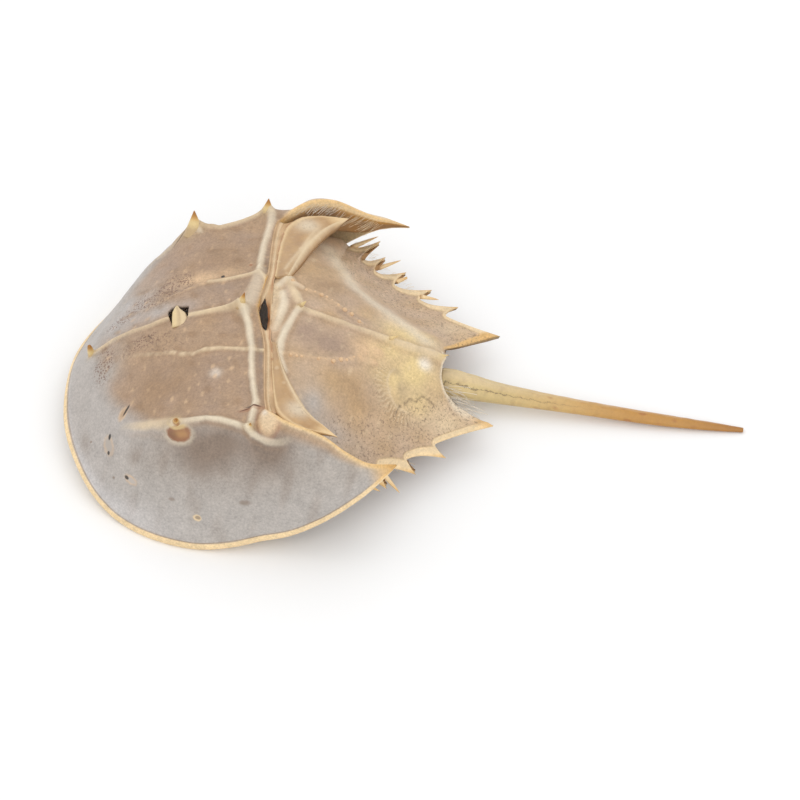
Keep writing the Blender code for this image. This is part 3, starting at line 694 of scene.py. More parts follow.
rearShieldShape = {
    "wall": 0.9,
    "columns": ("step", "middleX", "middleLift", "edgeX", "edgeY", "edgeLift", "furrowLift", "flankAt",
                "flankLift"),
    "table": (
        (0.0, 44.9, 28.6, 46.6, 25.2, 24.4, 28.2, 0.80, 26.6),
        (0.25, 47.2, 28.8, 48.8, 27.0, 20.6, 28.3, 0.74, 26.8),
        (0.5, 49.8, 28.4, 51.2, 29.2, 19.0, 27.8, 0.70, 25.8),
        (0.75, 53.2, 27.2, 54.6, 32.6, 16.6, 26.4, 0.64, 23.0),
        (0.92, 55.9, 26.1, 57.4, 34.2, 13.9, 25.2, 0.62, 20.8),
        (1.0, 57.2, 25.6, 58.4, 34.4, 12.0, 24.6, 0.62, 19.6),
        (2.0, 60.4, 24.0, 61.6, 31.7, 11.0, 22.8, 0.62, 17.2),
        (3.0, 63.6, 22.4, 64.4, 29.0, 9.7, 21.0, 0.62, 15.2),
        (4.0, 68.2, 20.0, 68.7, 25.8, 8.6, 18.4, 0.62, 12.8),
        (5.0, 73.8, 17.2, 74.4, 22.4, 7.5, 15.4, 0.62, 10.4),
        (6.0, 78.6, 14.8, 80.4, 17.8, 7.2, 13.0, 0.62, 9.4),
        (6.5, 79.8, 13.8, 86.0, 15.0, 7.0, 12.4, 0.62, 9.0),
        (7.0, 80.5, 13.2, 92.1, 12.6, 6.7, 11.8, 0.66, 8.2),
    ),
    "furrowAt": 0.3,
    "toothTips": {1: (65.2, 35.8, 12.2), 2: (66.4, 32.2, 10.8), 3: (70.8, 30.4, 7.9),
                  4: (76.6, 25.9, 7.0), 5: (82.6, 21.2, 6.6)},
    "toothAt": 0.62,
    "toothReachIn": 0.85,
    "spineHook": 0.9,
    "lines": (
        {"path": ((50.6, 0.6), (54.4, 0.3), (57.1, 0.0), (61.2, 0.0), (65.3, -0.1), (69.5, -0.3),
                  (73.6, -0.2), (80.4, 0.0)),
         "rise": (0.9, 0.7, 0.7, 0.9, 0.6, 0.9), "width": (0.7, 0.55, 0.6, 0.9, 0.9), "tint": "cream",
         "amount": (0.9, 0.7, 0.7, 0.8, 0.8)},
        {"path": ((50.6, 0.3), (49.9, -0.9), (49.0, -3.4), (48.0, -5.9), (47.2, -9.0), (47.1, -12.5),
                  (48.2, -16.0)),
         "rise": (0.4, 0.8, 0.9, 0.7), "width": (0.6, 0.75, 0.75, 0.7), "tint": "paleBone",
         "amount": (0.8, 1.0, 0.95, 0.6)},
        {"path": ((47.2, 4.6), (47.5, 2.6), (47.3, 0.0), (46.8, -2.8), (46.2, -5.6)),
         "rise": (0.4, 0.7, 0.3), "width": (0.8, 0.9, 0.7), "tint": "paleBone", "amount": (0.7, 0.9, 0.4)},
        {"path": ((50.5, 2.6), (49.6, 5.0), (48.6, 7.4), (48.0, 9.4)),
         "rise": (0.6, 0.5), "width": (0.9, 0.9), "tint": "cream", "amount": (0.8, 0.8)},
        {"path": ((46.4, 7.0), (47.4, 8.6), (48.8, 9.0), (49.4, 7.6), (51.0, 7.0)),
         "rise": (0.4, 0.4), "width": (0.7, 0.6), "tint": "paleBone", "amount": (0.6, 0.5)},
        {"path": ((49.2, 7.9), (52.1, 7.0), (55.0, 6.4), (56.8, 5.6), (58.7, 4.7), (61.0, 3.2), (64.0, 1.6)),
         "rise": (0.25, 0.3), "width": (0.55, 0.5), "tint": "pinkCream", "amount": (0.6, 0.6),
         "broken": 0.5},
        {"path": ((48.3, -11.8), (50.5, -11.2), (52.7, -10.9), (56.6, -10.8), (59.4, -9.3), (62.5, -7.7),
                  (66.2, -6.7)),
         "rise": (0.25, 0.3), "width": (0.55, 0.55), "tint": "pinkCream", "amount": (0.6, 0.7),
         "broken": 0.5},
    ),
    # soft areas of colour: centre and reach in plan, colour, strength
    "areas": (
        ((55.5, -5.5), (7.0, 4.2), "mauve", 0.95),
        # painted highlight on the pale swirl behind the hinge
        ((47.6, 3.0), (1.2, 2.6), "glint", 0.4),
        ((82.5, -13.5), (5.5, 4.0), "cream", 0.55),
        ((82.5, 13.5), (5.5, 4.0), "cream", 0.35),
        ((52.0, 14.0), (6.0, 6.0), "rearTan", 0.75),
        ((57.5, 9.5), (6.0, 3.6), "brownTan", 0.5),
        ((61.5, 3.0), (4.0, 1.1), "mauve", 0.75),
        ((60.0, -15.5), (8.0, 4.5), "rearTan", 0.85),
        ((64.0, -13.5), (3.5, 2.5), "brownTan", 0.35),
        ((54.0, -22.0), (4.0, 6.0), "flankLight", 0.65),
        ((60.0, -25.0), (5.0, 4.0), "flankLight", 0.4),
        ((45.9, 3.5), (1.6, 6.5), "cream", 0.9),
        ((46.0, -12.0), (1.3, 9.0), "pinkCream", 0.7),
        ((66.0, -4.5), (4.5, 2.5), "pinkCream", 0.65),
        ((73.5, -5.5), (7.0, 7.5), "yellowHorn", 0.95),
        ((73.0, 4.0), (6.0, 3.5), "yellowHorn", 0.85),
        ((71.2, -6.8), (1.5, 0.9), "flankShade", 0.35),
        ((72.4, -9.5), (1.2, 1.5), "flankShade", 0.4),
        # painted highlight near the rear thorn
        ((76.9, -2.8), (1.4, 1.4), "glint", 0.75),
    ),
    # ragged dark edge between the yellow middle and the wrinkled flank
    "zigzag": ((71.4, -13.9), (71.8, -12.8), (73.0, -11.9), (74.2, -10.5), (75.5, -10.5), (76.7, -9.2),
               (78.0, -9.4), (78.9, -9.8), (79.7, -10.0)),
    "foldCentre": (73.0, -9.3),
    # soft pale bands: path, half width, colour, strength; the first is a painted highlight along the bend of
    # the far flank
    "bands": (
        (((55.0, 26.0), (58.2, 20.0), (61.0, 15.0), (66.0, 11.0), (71.5, 7.5), (76.5, 4.0)),
         2.0, "paleBone", 0.7),
        (((81.5, 2.0), (84.0, 7.0), (91.0, 12.0)), 1.2, "yellowHorn", 0.6),
    ),
    "thorns": (
        {"root": (51.2, 0.6, 29.2), "tip": (52.3, 0.6, 30.4), "skirt": (0.4, 0.6), "radius": 0.62,
         "tipTint": 0.0, "taper": 0.8},
        {"root": (69.2, -0.3, 20.0), "tip": (71.3, -0.3, 21.0), "skirt": (0.4, 0.7), "radius": 0.7,
         "tipTint": 0.1, "taper": 0.9},
        {"root": (79.4, 0.0, 14.2), "tip": (81.9, 0.0, 14.7), "skirt": (0.5, 0.9), "radius": 0.7,
         "tipTint": 0.1, "taper": 0.9},
    ),
    # pale swellings: centre, reach, rise
    "swellings": (((63.8, -5.0), 1.3, 0.6), ((67.0, -4.4), 1.2, 0.55), ((63.2, -6.9), 0.9, 0.35),
                  ((66.5, -6.9), 0.8, 0.3)),
    "farDots": ((49.4, 7.9), (50.8, 7.4), (52.1, 7.0), (53.6, 6.8), (55.0, 6.4), (56.0, 6.0), (57.0, 5.6),
                (58.7, 4.7), (60.0, 3.9), (61.2, 3.1), (63.0, 2.2)),
    "nearDots": ((49.2, -11.8), (50.5, -11.4), (51.8, -11.1), (53.4, -10.9), (55.0, -10.9), (56.6, -10.8),
                 (58.0, -10.2), (59.4, -9.3), (60.9, -8.5), (62.5, -7.7), (63.6, -7.2)),
}


def toothPush(shape, steps):
    push = np.zeros((len(steps), 3))
    for i, step in enumerate(steps):
        tooth = int(math.floor(step))
        if tooth not in shape["toothTips"]:
            continue
        along = step-tooth
        root = columnsAt(shape["table"], shape["columns"], tooth+shape["toothAt"])
        foot = np.array((root["edgeX"], root["edgeY"], root["edgeLift"]))
        reach = np.array(shape["toothTips"][tooth])-foot
        if along < shape["toothAt"]:
            push[i] = reach*(along/shape["toothAt"])**3.0
        else:
            push[i] = reach*((1-along)/(1-shape["toothAt"]))**1.7
    return push


def rearSteps():
    parts = [np.linspace(0, 1, 71)]
    for tooth in range(1, 6):
        parts.append(tooth+np.concatenate((np.linspace(0.025, 0.6, 28), [0.62], np.linspace(0.64, 1, 19))))
    parts.append(np.linspace(6, 7, 60)[1:])
    return np.concatenate(parts)


def rearSurface(shape, steps, across):
    # one row of points for each step, from the middle line to the right edge
    row = columnsAt(shape["table"], shape["columns"], steps)
    push = toothPush(shape, steps)
    lifts = np.empty((len(steps), len(across)))
    for i in range(len(steps)):
        knots = (0, shape["furrowAt"], row["flankAt"][i], 1)
        values = (row["middleLift"][i], row["furrowLift"][i], row["flankLift"][i], row["edgeLift"][i])
        lifts[i] = smoothThrough(knots, values, across, levelStart=True)
    hook = shape["spineHook"]*np.clip(steps-6, 0, 1)
    sweep = np.clip((across[None]-0.28)/0.72, 0, 1)**(1+hook[:, None])
    x = row["middleX"][:, None]+(row["edgeX"]-row["middleX"])[:, None]*sweep
    y = row["edgeY"][:, None]*across[None]
    pull = np.clip((across-shape["toothReachIn"])/(1-shape["toothReachIn"]), 0, 1)**1.6
    return np.stack((x, y, lifts), -1)+pull[None, :, None]*push[:, None]


def buildRearShield(shape):
    steps = rearSteps()
    across = np.concatenate((np.linspace(0, 0.8, 76), np.linspace(0.8, 1, 31)[1:]))
    half = rearSurface(shape, steps, across)
    mirror = np.array((1, -1, 1))
    top = np.concatenate((half[:, :0:-1]*mirror, half), axis=1)
    acrossAll = np.concatenate((across[:0:-1], across))[None]*np.ones(top.shape[:2])
    stepAll = steps[:, None]*np.ones(top.shape[:2])
    x, y = top[..., 0].copy(), top[..., 1].copy()
    normal = gridNormals(top)
    normal *= np.sign(normal[..., 2:])
    under = top-shape["wall"]*(1-0.3*easeStep(0.9, 1.0, acrossAll))[..., None]*normal
    inner = 1-easeStep(0.86, 0.97, acrossAll)
    rise, tints = raiseLines(x, y, shape["lines"])
    for (cx, cy), reach, height in shape["swellings"]:
        rise += height*np.exp(-(np.hypot(x-cx, y-cy)/reach)**3)
    foldX, foldY = shape["foldCentre"]
    folds = np.hypot(x-foldX, y-foldY)
    westward = easeStep(0.5, -1.5, x-foldX+0.45*(y-foldY))*easeStep(-5.5, -7.5, y)
    spoke = np.sin(np.arctan2(y-foldY, foldX-x)*44+1.6*blobNoise(x, y, 2, 71))
    radial = spoke*np.exp(-((folds-5.1)/1.3)**4)*westward
    rise += 0.1*radial+0.09*blobNoise(x, y, 5.0, 72)
    ringLine = np.exp(-((folds-3.7)/0.25)**2)*westward
    rise += 0.16*ringLine
    beadLine = np.exp(-((acrossAll-0.958)/0.022)**2)*easeStep(0.9, 1.2, stepAll)
    moved = top+(rise*inner+0.28*beadLine)[..., None]*normal
    thornNear = drawSkirts(moved, shape["thorns"], inner)
    lip = half[:, -1:]+np.array((0.0, 0.0, -0.25))
    lower = np.concatenate((lip, under[:, -2:0:-2], lip*mirror), axis=1)
    rings = np.concatenate((moved, lower), axis=1)

    tint = np.ones(top.shape)*palette["rearMauve"]
    tint = tintOver(tint, "rearTan", 0.35+0.3*blobNoise(x, y, 8, 21))
    tint = paintAreas(tint, x, y, shape["areas"], 0.3, 5, 19)
    for path, width, colour, amount in shape["bands"]:
        gap, _ = nearPath(x, y, path)
        tint = tintOver(tint, colour, amount*np.exp(-(gap/width)**2))
    tint = tintOver(tint, "cream", 0.35*easeStep(0.6, 1.8, blobNoise(x, y, 2.5, 27))*inner)
    for (cx, cy), reach, height in shape["swellings"]:
        tint = tintOver(tint, "pinkCream", 0.75*np.exp(-(np.hypot(x-cx, y-cy)/reach)**3))
    # paler on the fold crests and browner in the troughs: painted light and shade on the folds
    tint = tintOver(tint, "cream", 0.5*np.clip(radial, 0, 1))
    tint = tintOver(tint, "brownTan", 0.3*np.clip(-radial, 0, 1))
    tint = tintOver(tint, "cream", 0.6*ringLine)
    gap, _ = nearPath(x, y, shape["zigzag"])
    gap = gap+0.15*blobNoise(x, y, 1.0, 73)
    tint = tintOver(tint, "darkBrown", 0.5*np.exp(-(gap/0.17)**2)*(y < 0))
    for colour, amount in tints:
        tint = tintOver(tint, colour, amount*inner)
    tint = tintOver(tint, "yellowHorn", 0.85*thornNear)
    toothed = easeStep(0.95, 1.15, stepAll)
    rim = easeStep(0.92, 0.94, acrossAll)*toothed
    tint = tintOver(tint, "gold", rim)
    tint = tintOver(tint, "warmBrown", 0.45*np.exp(-((acrossAll-0.932)/0.008)**2)*toothed)
    tint = tintOver(tint, "cream", 0.6*beadLine)
    reachOut = np.linalg.norm(toothPush(shape, steps), axis=1)[:, None]*easeStep(0.965, 1.0, acrossAll)
    tint = tintOver(tint, "orangeGold", 0.8*easeStep(1.5, 4.5, reachOut))
    spine = easeStep(6.7, 6.98, stepAll)*easeStep(0.8, 0.95, acrossAll)
    tint = tintOver(tint, "orangeGold", spine*0.75)
    nearNotch = easeStep(6.6, 6.9, stepAll)*easeStep(0.95, 0.75, acrossAll)*(y < 3)
    farNotch = easeStep(6.7, 6.85, stepAll)*easeStep(0.25, 0.5, acrossAll)*(y > 3)
    tint = tintOver(tint, "paleBone", 0.8*nearNotch)
    tint = tintOver(tint, "orangeGold", 0.85*farNotch)
    joint = easeStep(0.045, 0.0, stepAll)
    tint = tintOver(tint, "orangeGold", joint*0.7)
    full = np.ones(rings.shape)*palette["wingBrown"]
    full[:, :top.shape[1]] = tint
    full[:, top.shape[1]] = palette["gold"]
    full[:, -1] = palette["gold"]
    masks = np.zeros(rings.shape)
    outOnFlank = np.abs(y)+0.6*(x-66)+0.6*blobNoise(x, y, 4, 74)
    wrinkled = easeStep(14.5, 17.5, outOnFlank)*easeStep(0.55, 1.3, stepAll)
    masks[:, :top.shape[1], 1] = wrinkled*(1-rim)
    masks[:, :top.shape[1], 0] = 0.6*np.exp(-((folds-6.4)/1.2)**2)*westward
    masks[:, :top.shape[1], 2] = np.clip(sum(a for c, a in tints if c != "brownTan"), 0, 1)*inner
    return ringMesh("rearShield", rings, full, masks)


lobeShape = {
    # the thin pointed flaps over the front corners of the rear shield
    "front": ((45.3, 9.0, 28.6), (45.9, 18.0, 28.1), (47.0, 24.6, 27.4), (50.6, 28.2, 27.1),
              (59.8, 30.6, 24.4)),
    "rear": ((48.6, 9.0, 28.9), (50.8, 14.0, 28.3), (52.8, 19.0, 27.3), (55.4, 24.4, 26.0),
             (59.8, 30.6, 24.4)),
    "leftRear": ((46.4, 9.5, 28.9), (47.8, 15.0, 28.5), (50.2, 20.2, 27.5), (53.6, 25.6, 26.2),
                 (59.8, 30.6, 24.4)),
    "knots": (0.0, 0.3, 0.55, 0.72, 1.0),
    "thickness": 1.4,
    "leftSpread": 1.7,     # the left flap lies against the swept corner
}


def buildLobe(shape, side, word):
    t = np.linspace(0, 1, 110)
    rearPath = shape["rear"] if side > 0 else shape["leftRear"]
    front, rear = (np.stack([smoothThrough(shape["knots"], [p[k] for p in path], t) for k in range(3)], -1)
                   for path in (shape["front"], rearPath))
    if side < 0:
        front[:, 1] += shape["leftSpread"]*easeStep(0.25, 0.6, t)*easeStep(1.0, 0.75, t)
    w = np.linspace(0, 1, 41)
    top = front[:, None]*(1-w)[None, :, None]+rear[:, None]*w[None, :, None]
    width = np.linalg.norm(rear-front, axis=1)
    top[..., 1] *= side
    x, y = top[..., 0], top[..., 1]
    rise = np.minimum(0.35, 0.1*width)[:, None]*np.sin(w*math.pi)[None]
    small = np.clip(width/3.0, 0, 1)[:, None]
    edgeRidge = np.exp(-((w[None]-0.9)/0.075)**2)
    gap, _ = nearPath(x, np.abs(y), ((47.6, 11.0), (50.4, 17.0), (52.0, 21.5), (53.5, 25.0)))
    second = np.exp(-(gap/0.55)**2)*easeStep(1.0, 0.55, t)[:, None]*(side > 0)
    frontRidge = np.exp(-((w[None]-0.08)/0.07)**2)
    rise = rise+small*(0.5*edgeRidge+0.35*second+0.25*frontRidge)+0.07*blobNoise(x, y, 1.8, 5)*small
    top[..., 2] += rise
    thick = np.minimum(shape["thickness"], 0.3*width+0.12)
    low = top.copy()
    low[..., 2] -= rise+thick[:, None]
    rings = np.concatenate((top, low[:, ::-1]), axis=1)
    tint = np.ones(top.shape)*palette["tan"]
    tint = tintOver(tint, "rearTan", 0.55+0.4*blobNoise(x, y, 4, 12))
    tint = tintOver(tint, "deepGold", (0.12+0.15*easeStep(0.2, 0.9, t))[:, None]*np.ones(x.shape))
    tint = tintOver(tint, "cream", 0.4*easeStep(0.6, 1.6, blobNoise(x, y, 2.2, 13)))
    crinkled = np.exp(-np.hypot((x-51.6)/2.6, (np.abs(y)-25.6)/2.2)**2.5)
    tint = tintOver(tint, "paleBone", 0.75*crinkled)
    tint = tintOver(tint, "cream", 0.9*edgeRidge+0.6*second)
    tint = tintOver(tint, "gold", 0.6*frontRidge)
    tint = tintOver(tint, "gold", easeStep(0.8, 0.95, t)[:, None]*np.ones(x.shape)*0.9)
    full = np.concatenate((tint, np.ones(top.shape)*palette["wingBrown"]), axis=1)
    masks = np.zeros(rings.shape)
    masks[:, :len(w), 1] = crinkled
    masks[:, :len(w), 2] = 0.6
    return ringMesh("cornerLobe"+word, rings, full, masks)


hingeShape = {
    # the dried skin that closes the joint between the shields, open in a slit at the middle
    "reach": 26.6,
    # rear side of the joint: sideways, back, height
    "rearSide": ((0.0, 44.9, 28.6), (8.0, 45.0, 28.4), (9.5, 45.35, 28.6), (18.0, 46.0, 28.15),
                 (24.6, 47.1, 27.5), (27.0, 48.3, 27.2)),
    "slitMiddle": -1.4,
    "slitHalf": 4.5,
    "slitWide": 0.9,
    "thickness": 0.3,
    "tuck": 0.25,
}


def buildHingeSkin(shape, frontShape):
    y = np.linspace(-shape["reach"], shape["reach"], 221)
    borders = [(row[4], row[3], row[5]) for row in frontShape["table"][:10]]
    (frontX, frontLift), (rearX, rearLift) = (
        [smoothThrough([row[0] for row in table], [row[k] for row in table], np.abs(y), levelStart=True)
         for k in (1, 2)] for table in (borders, shape["rearSide"]))
    t = (y-shape["slitMiddle"])/shape["slitHalf"]
    openness = np.clip(1-t*t, 0, 1)**0.8
    slit = shape["slitWide"]*openness*(1+0.2*blobNoise(y, 0*y, 1.6, 36))
    middle = 0.5*(frontX+rearX)-0.2
    skins = []
    for name, fromX, toX in (("hingeSkinFront", frontX-shape["tuck"], middle-slit),
                             ("hingeSkinRear", middle+slit, rearX+shape["tuck"])):
        u = np.linspace(0, 1, 11)
        x = fromX[:, None]*(1-u)+toX[:, None]*u
        blend = np.clip((x-frontX[:, None])/np.maximum(rearX-frontX, 0.3)[:, None], 0, 1)
        lift = frontLift[:, None]*(1-blend)+rearLift[:, None]*blend
        lift += 0.12-0.55*np.sin(blend*math.pi)*np.clip((rearX-frontX)/2.2, 0, 1)[:, None]
        fromSlit = np.abs(x-middle[:, None])-slit[:, None]
        lip = openness[:, None]*np.exp(-(fromSlit/0.45)**2)
        lift += -0.9*lip+0.1*blobNoise(x, y[:, None]*np.ones_like(x), 2.0, 31)
        top = np.stack((x, y[:, None]*np.ones_like(x), lift), -1)
        rings = np.concatenate((top, top[:, ::-1]-np.array((0, 0, shape["thickness"]))), axis=1)
        tint = np.ones(top.shape)*palette["pinkCream"]
        tint = tintOver(tint, "rearTan", 0.6+0.4*blobNoise(x, top[..., 1], 4, 35))
        tint = tintOver(tint, "rust", 0.95*openness[:, None]*np.exp(-(fromSlit/0.5)**2))
        side = 0.65*np.exp(-((x-rearX[:, None])/0.16)**2)*easeStep(3.5, 6.0, np.abs(y))[:, None]
        tint = tintOver(tint, "rust", side)
        tint = tintOver(tint, "brownTan", 0.5*np.exp(-((x-frontX[:, None]-0.15)/0.2)**2))
        tint = tintOver(tint, "cream", 0.75*np.exp(-((x-frontX[:, None]-0.65)/0.25)**2))
        # the underside is dark brown: painted shade under the skin
        full = np.concatenate((tint, np.ones(top.shape)*palette["insideShade"]), axis=1)
        skins.append(ringMesh(name, rings, full))
    return skins


tailShape = {
    # distance along, sideways, height of the middle, width, depth
    "sections": (
        (79.6, 0.2, 6.1, 5.2, 4.2),
        (80.7, 0.2, 6.0, 6.8, 5.6),
        (82.0, 0.1, 5.9, 6.9, 5.6),
        (86.0, -0.3, 5.2, 6.4, 5.0),
        (92.3, -1.2, 4.2, 5.2, 4.0),
        (101.0, -2.5, 3.4, 4.3, 3.2),
        (110.0, -3.8, 2.7, 3.6, 2.7),
        (128.0, -6.3, 1.55, 2.9, 2.1),
        (140.0, -7.6, 0.85, 1.9, 1.45),
        (145.6, -8.1, 0.5, 1.1, 0.9),
    ),
    "rings": 300,
    "sides": 56,
}


def buildTail(shape):
    table = shape["sections"]
    knots = [row[0] for row in table]
    at = np.concatenate((np.linspace(knots[0], 83.0, 30), np.linspace(83.0, knots[-1], shape["rings"])[1:]))
    y, lift, width, depth = (smoothThrough(knots, [row[k] for row in table], at) for k in (1, 2, 3, 4))
    turn = np.linspace(0, 2*math.pi, shape["sides"], endpoint=False)
    wide, high = np.cos(turn), np.sin(turn)
    squeeze = 1-0.42*np.maximum(high, 0)**1.5
    flat = np.where(high > 0, high, np.maximum(high, -0.85)/0.85)
    s = (at-knots[0])/(knots[-1]-knots[0])
    rings = np.empty((len(at), len(turn), 3))
    rings[..., 0] = at[:, None]
    rings[..., 1] = y[:, None]+0.5*width[:, None]*(wide*squeeze)[None]
    rings[..., 2] = lift[:, None]+0.5*depth[:, None]*flat[None]
    rough = blobNoise(at[:, None]*np.ones(rings.shape[:2]), 4*turn[None]*np.ones(rings.shape[:2]), 4.0, 51)
    rings[..., 2] += np.where(high > 0.2, 0.05, 0.0)[None]*rough*np.clip(width/3, 0, 1)[:, None]
    grid = np.ones(rings.shape[:2])
    along = s[:, None]*grid
    tint = np.ones(rings.shape)*palette["yellowHorn"]
    tint = tintOver(tint, "oliveHorn", 0.7*easeStep(0.0, 0.2, along))
    blotches = blobNoise(rings[..., 0], rings[..., 1], 2.5, 52)
    tint = tintOver(tint, "brownTan", 0.3*easeStep(0.1, 1.2, blotches))
    tint = tintOver(tint, "gold", 0.2*easeStep(0.2, 0.6, along)*easeStep(0.2, 0.9, high)[None])
    tint = tintOver(tint, "deepGold", 0.9*easeStep(0.1, 0.7, along))
    tint = tintOver(tint, "amber", 0.3*easeStep(0.35, 0.7, along)+0.45*easeStep(0.75, 1.0, along))
    tint = tintOver(tint, "cream", 0.5*easeStep(0.75, 1.0, high)[None]*easeStep(0.5, 0.1, along))
    tint = tintOver(tint, "rust", 0.55*easeStep(0.5, 1.5, rough)*easeStep(0.15, 0.4, along))
    masks = np.zeros(rings.shape)
    masks[..., 0] = (turn/(2*math.pi))[None]
    masks[..., 1] = along
    masks[..., 2] = 0.6
    return ringMesh("tailSpine", rings, tint, masks)


edgeSpines = {
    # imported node: side, foot, tip, foot radius, broken
    "edge_spine_right_1": (1, (59.9, 34.8, 11.7), (64.7, 37.1, 12.3), 0.62, False),
    "edge_spine_right_3": (1, (65.8, 30.4, 9.6), (69.7, 32.0, 10.0), 0.6, False),
    "edge_spine_right_4_stub": (1, (69.9, 27.2, 8.7), (71.3, 27.5, 9.2), 0.6, True),
    "edge_spine_right_5": (1, (75.4, 23.0, 7.7), (78.4, 22.6, 7.4), 0.55, False),
    "edge_spine_left_1": (-1, (59.9, 35.6, 11.9), (64.4, 37.4, 12.4), 0.62, False),
    "edge_spine_left_2": (-1, (62.9, 32.9, 10.9), (66.5, 34.8, 10.8), 0.6, False),
    "edge_spine_left_3": (-1, (65.8, 30.4, 9.6), (69.5, 32.4, 9.4), 0.6, False),
    "edge_spine_left_4": (-1, (70.0, 27.4, 8.5), (73.6, 30.8, 6.9), 0.62, False),
}


def buildEdgeSpine(node, side, foot, tip, radius, broken):
    foot = np.array((foot[0], foot[1]*side, foot[2]))
    tip = np.array((tip[0], tip[1]*side, tip[2]))
    socketDepth = 1.2      # how far the foot stands inside the rim
    foot = foot-socketDepth*(tip-foot)/np.linalg.norm(tip-foot)
    if broken:
        sizes = ((0, 0.75), (0.12, 1.0), (0.4, 0.85), (0.8, 0.62), (1.0, 0.5))
    else:
        sizes = ((0, 0.75), (0.06, 0.95), (0.14, 1.0), (0.3, 0.86), (0.5, 0.7), (0.75, 0.45), (0.92, 0.2),
                 (1.0, 0.06))
    rows, sides = 30, 16
    s = np.linspace(0, 1, rows)
    size = radius*smoothThrough([a for a, _ in sizes], [b for _, b in sizes], s)
    rings = spikeRings(foot, tip, size, sides, (0, 0, 1.0), flatten=0.75)
    along = s[:, None]*np.ones((rows, sides))
    tint = np.ones(rings.shape)*palette["gold"]
    tint = tintOver(tint, "amber", 0.7*easeStep(0.22, 0.0, along))
    tint = tintOver(tint, "orangeGold", 0.8*easeStep(0.3, 1.0, along))
    parts = node.split("_")
    return ringMesh("edgeSpine"+parts[2].title()+parts[3], rings, tint)


def makeGroup(name, inputs, outputs):
    group = bpy.data.node_groups.new(name, "ShaderNodeTree")
    for label, kind, value in inputs:
        made = group.interface.new_socket(name=label, in_out="INPUT", socket_type="NodeSocket"+kind)
        if value is not None:
            made.default_value = value
    for label, kind in outputs:
        group.interface.new_socket(name=label, in_out="OUTPUT", socket_type="NodeSocket"+kind)
    return group, group.nodes.new("NodeGroupInput"), group.nodes.new("NodeGroupOutput")


def mathNode(tree, operation, first, second=None):
    node = tree.nodes.new("ShaderNodeMath")
    node.operation = operation
    for i, value in enumerate((first, second)):
        if isinstance(value, (int, float)):
            node.inputs[i].default_value = value
        elif value is not None:
            tree.links.new(value, node.inputs[i])
    return node.outputs[0]


def noiseNode(tree, vector, scale, detail=3.0, roughness=0.5):
    node = tree.nodes.new("ShaderNodeTexNoise")
    node.inputs["Scale"].default_value = scale
    node.inputs["Detail"].default_value = detail
    node.inputs["Roughness"].default_value = roughness
    tree.links.new(vector, node.inputs["Vector"])
    return node


def rangeNode(tree, value, low, high):
    node = tree.nodes.new("ShaderNodeMapRange")
    node.interpolation_type = "SMOOTHSTEP"
    node.inputs["From Min"].default_value = low
    node.inputs["From Max"].default_value = high
    tree.links.new(value, node.inputs["Value"])
    return node.outputs["Result"]


def mixColour(tree, blend, factor, first, second):
    node = tree.nodes.new("ShaderNodeMix")
    node.data_type = "RGBA"
    node.blend_type = blend
    for i, value in ((0, factor), (6, first), (7, second)):
        if isinstance(value, (int, float)):
            node.inputs[i].default_value = value
        elif isinstance(value, (tuple, np.ndarray)):
            node.inputs[i].default_value = (*value, 1)
        else:
            tree.links.new(value, node.inputs[i])
    return node.outputs[2]


def objectCoords(tree):
    return tree.nodes.new("ShaderNodeTexCoord").outputs["Object"]


def mottleGroup():
    # uneven clouding and fine speckle of dried horn
    group, way, out = makeGroup("hornMottle", (("Colour", "Color", None), ("Cloud", "Float", 0.3),
                                               ("Speckle", "Float", 0.3)),
                                (("Colour", "Color"), ("Height", "Float")))
    coords = objectCoords(group)
    cloud = noiseNode(group, coords, 260.0, 4.0, 0.6).outputs[0]
    speck = noiseNode(group, coords, 2100.0, 3.0, 0.75).outputs[0]
    patch = noiseNode(group, coords, 720.0, 4.0, 0.65).outputs[0]
    cloud = mathNode(group, "MULTIPLY", mathNode(group, "ADD", cloud, patch), 0.5)
    cloudShade = mathNode(group, "MULTIPLY", mathNode(group, "SUBTRACT", cloud, 0.5), way.outputs["Cloud"])
    speckShade = mathNode(group, "MULTIPLY", mathNode(group, "SUBTRACT", speck, 0.5), way.outputs["Speckle"])
    shade = mathNode(group, "ADD", mathNode(group, "ADD", cloudShade, speckShade), 1.0)
    grey = group.nodes.new("ShaderNodeCombineColor")
    for i in range(3):
        group.links.new(shade, grey.inputs[i])
    shaded = mixColour(group, "MULTIPLY", 1.0, way.outputs["Colour"], grey.outputs[0])
    group.links.new(shaded, out.inputs["Colour"])
    group.links.new(speck, out.inputs["Height"])
    return group


def poreGroup():
    # small dark pits
    group, way, out = makeGroup("hornPores", (("Mask", "Float", 1.0), ("Scale", "Float", 1100.0)),
                                (("Pits", "Float"),))
    coords = objectCoords(group)
    cells = group.nodes.new("ShaderNodeTexVoronoi")
    group.links.new(coords, cells.inputs["Vector"])
    group.links.new(way.outputs["Scale"], cells.inputs["Scale"])
    dots = rangeNode(group, cells.outputs["Distance"], 0.52, 0.26)
    patchy = rangeNode(group, noiseNode(group, coords, 600.0, 2.0).outputs[0], 0.32, 0.5)
    marked = mathNode(group, "MULTIPLY", mathNode(group, "MULTIPLY", dots, patchy), way.outputs["Mask"])
    group.links.new(marked, out.inputs["Pits"])
    return group


